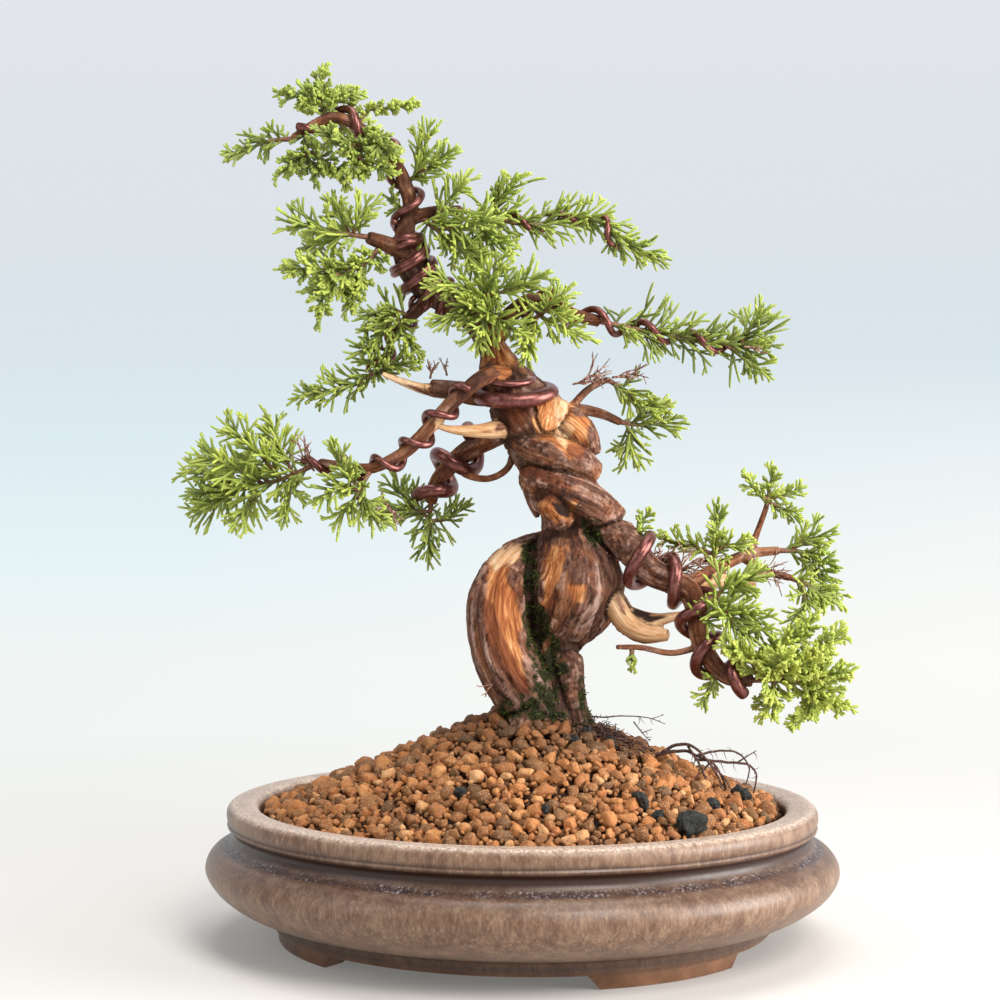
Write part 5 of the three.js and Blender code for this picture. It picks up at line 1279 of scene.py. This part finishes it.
# ---------- the leaves ----------
def cords(soup, starts, ways, bends, lengths, radii, rings, sides, tips, tints):
    """Scaly cords, each bent a little: round-ended tubes whose rings swell like overlapping scales."""
    count = len(starts)
    t = np.append(np.linspace(0, 0.9, rings - 2), [0.965, 1.0])
    along = ways[:, None] * t[None, :, None] + bends[:, None] * (t**2)[None, :, None]
    centres = starts[:, None] + along * lengths[:, None, None]
    side = unit(np.cross(ways, np.array([0.31, 0.17, 0.93])))
    other = np.cross(ways, side)
    shape = np.minimum(1, 0.8 + 0.7 * t) * np.sqrt(np.clip((1.01 - t) / 0.11, 0.06, 1))
    shape = shape * np.where(np.arange(rings) % 2 == 0, 0.95, 1.06)
    angle = circle(sides)[None, None, :, None]
    ring = side[:, None, None] * np.cos(angle) + other[:, None, None] * np.sin(angle)
    wide = (radii[:, None] * shape[None])[..., None, None]
    corners = (centres[:, :, None] + ring * wide).reshape(count, rings * sides, 3)
    ends = np.stack([starts, centres[:, -1] + ways * radii[:, None] * 0.35], axis=1)
    corners = np.concatenate([corners, ends], axis=1)
    size = rings * sides + 2
    shift = (np.arange(count) * size)[:, None, None]
    quads, tris = ((faces[None] + shift).reshape(-1, faces.shape[1]) for faces in tube_faces(rings, sides))
    bright = tips[:, :1] + (tips[:, 1:] - tips[:, :1]) * t[None]
    bright = np.concatenate([np.repeat(bright, sides, axis=1), tips], axis=1).ravel()
    soup.add(corners.reshape(-1, 3), quads, tris, tip=bright, tint=np.repeat(tints, size), woody=0.0)


def turn_about(vectors, axes, angles):
    cos, sin = np.cos(angles)[:, None], np.sin(angles)[:, None]
    return vectors * cos + np.cross(axes, vectors) * sin + axes * dot(vectors, axes)[:, None] * (1 - cos)


def offshoots(generator, starts, ways, bends, lengths, parts, flats, angles, loose):
    """Where side cords leave their cords, and which way they go."""
    at = starts + (ways * parts[:, None] + bends * (parts**2)[:, None]) * lengths[:, None]
    tangent = unit(ways + 2 * bends * parts[:, None])
    axis = unit(flats + generator.normal(scale=loose, size=starts.shape))
    axis = unit(axis - tangent * dot(axis, tangent)[:, None])
    return at, turn_about(tangent, axis, angles)


# How a spray's shoots grow: their spacing on the stem, length over the spray's reach, lean off the
# stem in radians, side shoots on each with their length and angle, the share that forks again and
# the shortest that does, and their radius.
SLENDER = {
    "step": 0.93, "long": (0.85, 1.48), "lean": (0.5, 1.15), "sides": 3, "far": 0.78, "angle": (0.4, 0.72),
    "forks": 0.16, "forks_from": 3.4, "thick": (0.43, 0.51),
}
TUFTED = {
    "step": 0.8, "long": (0.7, 1.15), "lean": (0.55, 1.25), "sides": 5, "far": 0.64, "angle": (0.45, 0.8),
    "forks": 0.6, "forks_from": 2.4, "thick": (0.49, 0.58),
}
TUFTED_SPRAYS = ("apex_crown", "apex_front", "apex_low", "apex_arm", "upper_left_low", "right_pad")
# Sprays brighter or duller than the others': partly fresher or duller growth, partly painted light and
# shade, brighter on the right and duller behind and round the apex.
FRESH_AND_LIT = {
    "right_pad": 0.38, "apex_crown": -0.25, "apex_front": -0.3, "upper_left_low": -0.1, "right_sprig": 0.1,
    "right_under": 0.1, "left_pad": 0.1, "back_left": -0.3, "right_back": -0.15, "apex_low": -0.45,
    "apex_tip": -0.3, "long_limb": -0.4, "top_right": -0.1, "mid_left": -0.2,
}
# Sprays whose shoots are longer or shorter than the others' for their reach.
FULL = {
    "long_limb": 1.18, "right_pad": 1.12, "right_middle": 1.1, "middle": 1.06, "left_pad": 1.04,
    "apex_crown": 0.94,
}
# How much shorter a spray's shoots are at the end of its stem, and how close they stand.
TAPER = {"long_limb": 0.55, "right_pad": 0.3}
CLOSE = {"right_pad": 0.85, "right_middle": 0.85}
STEM_SIDES, CORD_SIDES = 8, 6
LEAF_TURN = math.radians(137.5)  # from one shoot to the next round a stem


def stem_shoots(generator, stem, thick, soup, reach, turn, step, habit, taper):
    """A stem's own tube, and the start, direction and length of the shoots along it."""
    points = seen(stem)
    path = Path(points, np.linspace(thick, 0.4, len(points)), 12)
    count = max(6, int(path.length / 1.1))
    fade = np.concatenate([np.repeat(np.linspace(1.2, -0.5, count), STEM_SIDES), [1.2, -0.5]])
    soup.add(*tube(path, count, STEM_SIDES), tip=0.25, tint=0.4, woody=np.clip(fade, 0, 1))
    parts = np.arange(0.08 * path.length + generator.uniform(0, step), path.length, step) / path.length
    places, _, tangents, normals, binormals = path.at(parts)
    turns = turn + np.arange(len(parts)) * LEAF_TURN
    turns = turns + generator.normal(scale=0.35, size=len(parts))
    out = normals * np.cos(turns)[:, None] + binormals * np.sin(turns)[:, None]
    lean = generator.uniform(*habit["lean"], len(parts)) * (1.12 - 0.35 * parts)
    ways = unit(out * np.sin(lean)[:, None] + tangents * np.cos(lean)[:, None] + [0, 0, 0.06])
    far = reach * generator.uniform(*habit["long"], len(parts)) * (1.0 - taper * parts)
    starts = np.vstack([places, places[-1:]])
    ways = np.vstack([ways, unit(tangents[-1:])])
    return starts, ways, np.append(far, reach * (1.15 - taper))


def spray(name, seed):
    """A leafy spray: its stems, the shoots on them, their side shoots, and the forks of those."""
    generator = np.random.default_rng(seed)
    habit = TUFTED if name in TUFTED_SPRAYS else SLENDER
    reach, stems = SPRAYS[name]
    reach = reach * FULL.get(name, 1)
    step, taper = habit["step"] * CLOSE.get(name, 1), TAPER.get(name, 0.2)
    soup = Soup()
    grown = []
    turn = generator.uniform(0, 6)
    for order, stem in enumerate(stems):
        thick = 0.7 if order else 0.95
        grown.append(stem_shoots(generator, stem, thick, soup, reach, turn, step, habit, taper))
        turn += 2.1
    start, way, length = (np.concatenate(each) for each in zip(*grown))
    count = len(start)
    lean = generator.normal(scale=0.07, size=(count, 3)) + [0, 0, 0.03]
    # Each spray's tint carries its growth and its painted light and shade.
    tint = generator.uniform(0, 1, count) + FRESH_AND_LIT.get(name, 0)
    base = np.full(count, 0.22)
    thick = habit["thick"]
    cords(soup, start, way, lean, length, generator.uniform(*thick, count), 13, CORD_SIDES,
          np.column_stack([base, base + 0.5]), tint)
    flat = unit(np.cross(way, generator.normal(size=(count, 3))))
    shoots = []
    for k in range(habit["sides"]):
        part = np.full(count, 0.14 + 0.7 * k / habit["sides"]) + generator.uniform(-0.05, 0.05, count)
        angle = (1 if k % 2 else -1) * generator.uniform(*habit["angle"], count)
        keep = generator.uniform(size=count) < 0.82
        at, go = offshoots(generator, start, way, lean, length, part, flat, angle, 0.35)
        far = length * habit["far"] * (1.05 - 0.62 * part) * generator.uniform(0.65, 1.2, count)
        shoots.append([each[keep] for each in (at, go, far, tint, part, flat)])
    at, go, far, shade, part, flats = (np.concatenate(each) for each in zip(*shoots))
    count = len(at)
    bend = generator.normal(scale=0.06, size=(count, 3))
    low = 0.32 + 0.22 * part
    cords(soup, at, go, bend, far, generator.uniform(*thick, count) * 0.92, 9, CORD_SIDES,
          np.column_stack([low, low + 0.3]), shade)
    for spot, side in ((0.4, 1), (0.6, -1)):
        some = np.where(far > habit["forks_from"])[0]
        some = some[generator.uniform(size=len(some)) < habit["forks"]]
        where, goes = offshoots(generator, at[some], go[some], bend[some], far[some],
                                np.full(len(some), spot), flats[some],
                                side * generator.uniform(0.4, 0.7, len(some)), 0.4)
        pale = low[some] + 0.14
        cords(soup, where, goes, bend[some] * 0, far[some] * generator.uniform(0.42, 0.62, len(some)),
              np.full(len(some), 0.88 * thick[0]), 7, CORD_SIDES, np.column_stack([pale, pale + 0.2]),
              shade[some])
    dress(soup.build(f"foliage_{name}"), LEAF, f"foliage_{name}")


for order, name in enumerate(SPRAYS):
    spray(name, SEEDS["sprays"] + order)

# ---------- roots, charcoal, moss and dry twigs ----------
# The roots over the soil: each strand's [across, up, deep] with its first and its last radius.
ROOTS = {
    "surface_root_long": [
        ([[45, 60, -14], [49.6, 61, -16], [55, 61.3, -17], [59, 59.6, -18], [63.6, 57.6, -18],
          [67, 52.6, -18], [69.6, 43.6, -17]], 0.62, 0.3),
        ([[58, 58.6, -18], [68.6, 57.6, -16], [76, 56.6, -14], [78.4, 53.6, -13], [77.4, 46.6, -12]],
         0.5, 0.25),
        ([[72, 57.4, -15], [75.4, 59.6, -15], [78.4, 61.4, -14]], 0.32, 0.14),
        ([[63, 57.6, -17.6], [60, 54, -19], [58, 52.6, -20]], 0.34, 0.15),
        ([[47, 61, -15], [52, 63.4, -17], [57, 63, -19], [63, 57, -20], [66.4, 51, -20], [67.4, 45, -19]],
         0.6, 0.3),
        ([[55.6, 63, -18], [60, 56, -20], [62, 50.6, -20], [64, 45.6, -20]], 0.46, 0.24),
        ([[59, 60, -18], [66, 61.4, -17], [72.4, 60.6, -16], [76, 56, -16], [75, 50, -15]], 0.42, 0.2),
        ([[64.4, 56, -20], [68, 52, -19], [70.6, 47, -18]], 0.36, 0.16),
    ],
    "surface_root_fine": [
        ([[22, 73, -8], [28, 72.6, -10], [32.6, 73, -12], [42.4, 72.4, -13], [48, 70.4, -13]], 0.3, 0.12),
        ([[37.6, 71, -12], [40.4, 67.4, -13], [43, 64.6, -14]], 0.26, 0.12),
        ([[40.4, 67.4, -13], [43.6, 68.6, -14]], 0.2, 0.1),
        ([[26, 70, -9], [31, 68, -12], [34, 64, -14]], 0.3, 0.14),
        ([[44, 72.2, -13], [47.6, 73.4, -14]], 0.16, 0.08),
    ],
}
# Lumps of charcoal: [across, up, deep, size].
CHARCOAL = [
    [56.3, 36, -62, 8.2], [39.6, 46.3, -52, 4.8], [73, 55, -20, 5.6], [-20, 56, -50, 3.8],
    [8, 52, -62, 3.2], [46, 42, -58, 3.4], [64, 47, -40, 3.8], [22, 66, -14, 3.6], [18, 63, -22, 3.2],
    [30, 62, -16, 3.4],
]
# Dry twigs: where each bunch starts, which way it goes, how long it is and its number of twigs.
DRY_TWIGS = [
    ([19, 184, 8], [1, 0.25, 0.1], 14, 6), ([22, 186, 9], [0.8, 0.7, 0.2], 10, 5),
    ([32, 186, 12], [1, 0.1, 0.2], 12, 5), ([-30, 187, -3], [0.2, 1, -0.3], 5, 5),
    ([-25, 188, -2], [-0.2, 1, 0.2], 5, 3), ([43, 124, -7], [1, 0.5, -0.4], 12, 8),
    ([52, 121, -8], [1, 0.6, -0.3], 12, 8), ([58, 124, 2], [1, 0.2, 0.4], 14, 6),
    ([78, 120, -2], [1, 0.3, -0.2], 12, 6), ([61, 104, -11], [-0.7, 0.5, -0.6], 6, 4),
    ([-6.0, 127.6, -1], [0.05, 1, -0.1], 5, 1), ([-9, 84, -14], [-0.7, -0.7, -0.3], 6, 2),
    ([-70, 156, -6], [-0.6, 0.7, -0.2], 12, 6), ([-46, 146, 2], [0.2, -1, 0], 12, 5),
    ([76, 196, -2], [1, 0, 0], 6, 2),
]
TANGLE = {"at": [30, 66, -9], "spread": (6.4, 3.4, 0), "count": 230}
MOSS_TUFTS = 5200
ROUND = 6.28  # the range of a random turn


def knotted(knots):
    """A root's uneven girth, as it swells along it and round it."""

    def swell(parts, angle):
        return 1 + 0.18 * np.sin(parts * 40 + knots)[:, None] * np.cos(angle + knots)[None]

    return swell


def roots():
    generator = np.random.default_rng(SEEDS["roots"])
    for name, strands in ROOTS.items():
        soup = Soup()
        for points, first, last in strands:
            path = Path(seen(points), np.linspace(first, last, len(points)), 10)
            wobble = knotted(generator.uniform(0, 6))
            soup.add(*tube(path, max(8, int(path.length / 0.5)), 8, wobble=wobble))
            hairs = int(path.length / 2.2)
            places, _, tangents, normals, binormals = path.at(generator.uniform(0.1, 0.95, hairs))
            for spot, tangent, normal, binormal in zip(places, tangents, normals, binormals):
                turn = generator.uniform(0, ROUND)
                out = normal * math.cos(turn) + binormal * math.sin(turn)
                out[2] -= 0.35
                far = generator.uniform(0.9, 2.6)
                mid = spot + (out * 0.6 + tangent * 0.3) * far
                end = spot + (out + tangent * generator.uniform(-0.2, 0.9)) * far
                soup.add(*tube(Path([spot, mid, end], [0.14, 0.1, 0.05], 5), 6, 5))
        dress(soup.build(name), ROOT)


def root_tangle():
    """Fine roots matted against the trunk's foot."""
    generator = np.random.default_rng(SEEDS["tangle"])
    soup = Soup()
    centre = seen(TANGLE["at"])[0]
    for _ in range(TANGLE["count"]):
        start = centre + generator.normal(scale=TANGLE["spread"], size=3)
        start[2] = mound(start[0], start[1]) + generator.uniform(0.5, 2.4)
        points = [start]
        way = unit(generator.normal(size=3) * [1, 1, 0.4])
        for _ in range(3):
            way = unit(way + generator.normal(scale=0.6, size=3) * [1, 1, 0.5])
            step = points[-1] + way * generator.uniform(1.2, 2.6)
            ground = mound(step[0], step[1])
            step[2] = np.clip(step[2], ground - 0.4, ground + 4.2)
            points.append(step)
        path = Path(points, np.linspace(generator.uniform(0.14, 0.34), 0.08, 4), 6)
        soup.add(*tube(path, 14, 5))
    dress(soup.build("root_tangle"), ROOT)


def charcoal():
    generator = np.random.default_rng(SEEDS["charcoal"])
    soup = Soup()
    for k, (*spot, size) in enumerate(CHARCOAL):
        place = seen(spot)[0]
        shape = lump_shape(FINE_BALL[0], 90 + k, 7, 20.0, 0.24) * size * [1.05, 0.95, 0.8]
        place[2] = mound(place[0], place[1]) + 0.22 * size
        soup.add(shape @ turned(1, generator)[0].T + place, tris=FINE_BALL[1], tint=0.1, char=1.0)
    dress(soup.build("charcoal"), GRANULES)


def moss():
    """Cushions of short tufts where moss covers the bark."""
    generator = np.random.default_rng(SEEDS["moss"])
    corners, normals, mossy = WOOD_SKIN
    spots = np.where((mossy > 0.45) & (corners[:, 2] > 52))[0]
    spots = generator.choice(spots, min(len(spots), MOSS_TUFTS), replace=False)
    count = len(spots)
    ways = unit(normals[spots] + generator.normal(scale=0.5, size=(count, 3)))
    soup = Soup()
    far = generator.uniform(0.35, 1.15, count)
    bends = generator.normal(scale=0.25, size=(count, 3))
    tips = np.column_stack([np.zeros(count), np.ones(count)])
    cords(soup, corners[spots] - normals[spots] * 0.2, ways, bends, far, generator.uniform(0.1, 0.2, count),
          4, 4, tips, np.zeros(count))
    dress(soup.build("moss"), MOSS)


def dry_twigs():
    """Bare and broken twigs that fork once or twice."""
    generator = np.random.default_rng(SEEDS["dry_twigs"])
    soup = Soup()
    for start, way, length, count in DRY_TWIGS:
        base, beyond = seen([start, np.add(start, way)])
        ahead = unit(beyond - base)
        for _ in range(count):
            points = [base - ahead * 1.5, base]
            heading = unit(ahead + generator.normal(scale=0.25, size=3))
            for _ in range(3):
                heading = unit(heading + generator.normal(scale=0.3, size=3))
                points.append(points[-1] + heading * length * generator.uniform(0.2, 0.42))
            thick = generator.uniform(0.28, 0.46)
            path = Path(points, np.linspace(thick, 0.16, len(points)), 8)
            soup.add(*tube(path, 16, 6))
            for part in generator.uniform(0.3, 0.85, 3):
                spot, _, tangent, normal, binormal = (each[0] for each in path.at(part))
                turn = generator.uniform(0, ROUND)
                out = unit(tangent + 0.9 * (normal * math.cos(turn) + binormal * math.sin(turn)))
                far = length * generator.uniform(0.12, 0.3)
                bent = spot + out * far + generator.normal(scale=0.3, size=3)
                soup.add(*tube(Path([spot, spot + out * far * 0.5, bent], [0.24, 0.2, 0.12], 6), 8, 5))
    dress(soup.build("dry_twigs"), TWIG)


roots()
root_tangle()
charcoal()
moss()
dry_twigs()

# ---------- floor, light and camera ----------
# The floor's profile in metres: its front edge, where it bends up, the bend's radius, its top, and
# half its width.
SWEEP = {"front": -1.6, "back": 1.0, "bend": 0.7, "top": 3.2, "half": 4.0}
FLOOR_FACE = (0.63, 0.6, 0.57, 1)
BLACK = (0, 0, 0, 1)
SKY = {"colour": (0.97, 0.98, 1.0, 1), "strength": 0.22}
LENS = {"long": 75.6, "shift": -0.03, "near": 0.05}
WARM, COOL, PLAIN = (1.0, 0.985, 0.96), (0.99, 0.99, 1.0), (1, 1, 1)
# Lamps in metres: where each stands, where it looks, its size, its watts and its colour.
LAMPS = {
    "key": ((0.75, -0.75, 1.0), (0, 0, 0.1), (0.6, 0.6), 15.5, WARM),
    "side": ((1.15, 0.05, 0.3), (0, 0, 0.06), (0.9, 0.7), 23, WARM),
    "fill": ((-0.9, -0.9, 0.8), (0, 0, 0.12), (0.9, 0.9), 5, COOL),
    "top": ((0.0, 0.1, 1.4), (0, 0, 0), (0.9, 0.9), 12, PLAIN),
}


def backdrop_material():
    """A glow that changes with height, and gives way near the pot to a floor lit by the lamps."""
    s = Shader("backdrop", Roughness=0.9, Specular_IOR_Level=0.1)
    x, y, height = s.axes(s.here())
    glow = s.ramp(
        s.grade(height, 0.0, 0.7), (0.0, 238, 243, 241), (0.08, 231, 243, 246), (0.17, 226, 239, 243),
        (0.27, 221, 235, 242), (0.38, 218, 230, 236), (0.5, 218, 227, 233), (0.72, 221, 227, 233),
        (1.0, 227, 229, 236),
    )
    across = s.add(s.times(x, COS), s.times(y, SIN))
    # Brighter to the right, low down: a painted pool of light on the floor.
    bright = s.times(s.grade(across, -0.3, 0.5), s.grade(height, 0.28, 0.0, 0.0, 0.8))
    glow = s.mix(bright, glow, rgb(254, 251, 246))
    span = s.node("VectorMath", operation="LENGTH")
    s.feed(span.inputs[0], s.here())
    # The floor near the pot keeps a little glow: painted light that lifts the pot's shadow.
    away = s.grade(span.outputs["Value"], 0.1, 0.6, 0.16, 1.0)
    s.fill(s.surface, Emission_Color=s.mix(away, BLACK, glow), Emission_Strength=1.0)
    return s.finish(s.mix(away, FLOOR_FACE, BLACK))


def backdrop():
    """A pale floor that sweeps up behind into a softly lit wall, in metres."""
    back, bend, half = SWEEP["back"], SWEEP["bend"], SWEEP["half"]
    turns = np.linspace(0, math.pi / 2, 16)
    curve = [(back + bend * math.sin(a), bend - bend * math.cos(a)) for a in turns]
    profile = [(SWEEP["front"], 0), *curve, (back + bend, SWEEP["top"])]
    x, y, z = np.array([[x, y, z] for y, z in profile for x in (-half, half)]).T / MM
    swung = np.column_stack([x * COS - y * SIN, x * SIN + y * COS, z])
    quads = np.array([[2 * i, 2 * i + 1, 2 * i + 3, 2 * i + 2] for i in range(len(profile) - 1)])
    piece = make_mesh("backdrop", swung, quads, NO_TRIS)
    piece.data.materials.append(backdrop_material())


def add_object(name, data):
    thing = bpy.data.objects.new(name, data)
    bpy.context.scene.collection.objects.link(thing)
    return thing


def lamp(name, place, aim, size, power, colour):
    light = bpy.data.lights.new(name, "AREA")
    light.shape = "RECTANGLE"
    light.size, light.size_y = size
    light.energy = power
    light.color = colour
    stand = add_object(name, light)
    stand.location = place
    look = np.array(aim) - np.array(place)
    yaw = math.atan2(look[1], look[0]) - math.pi / 2
    pitch = math.atan2(look[2], math.hypot(look[0], look[1]))
    stand.rotation_euler = (math.pi / 2 + pitch, 0, yaw)


def stage():
    backdrop()
    world = bpy.data.worlds.new("studio")
    bpy.context.scene.world = world
    world.use_nodes = True
    sky = world.node_tree.nodes["Background"]
    sky.inputs["Color"].default_value = SKY["colour"]
    sky.inputs["Strength"].default_value = SKY["strength"]
    for name, how in LAMPS.items():
        lamp(name, *how)
    camera = add_object("camera", bpy.data.cameras.new("camera"))
    camera.location = EYE_AT * MM
    camera.rotation_euler = (math.radians(90), 0, TURN)
    camera.data.lens, camera.data.shift_y = LENS["long"], LENS["shift"]
    camera.data.clip_start = LENS["near"]
    bpy.context.scene.camera = camera
    bpy.context.scene.view_settings.view_transform = "Standard"


stage()
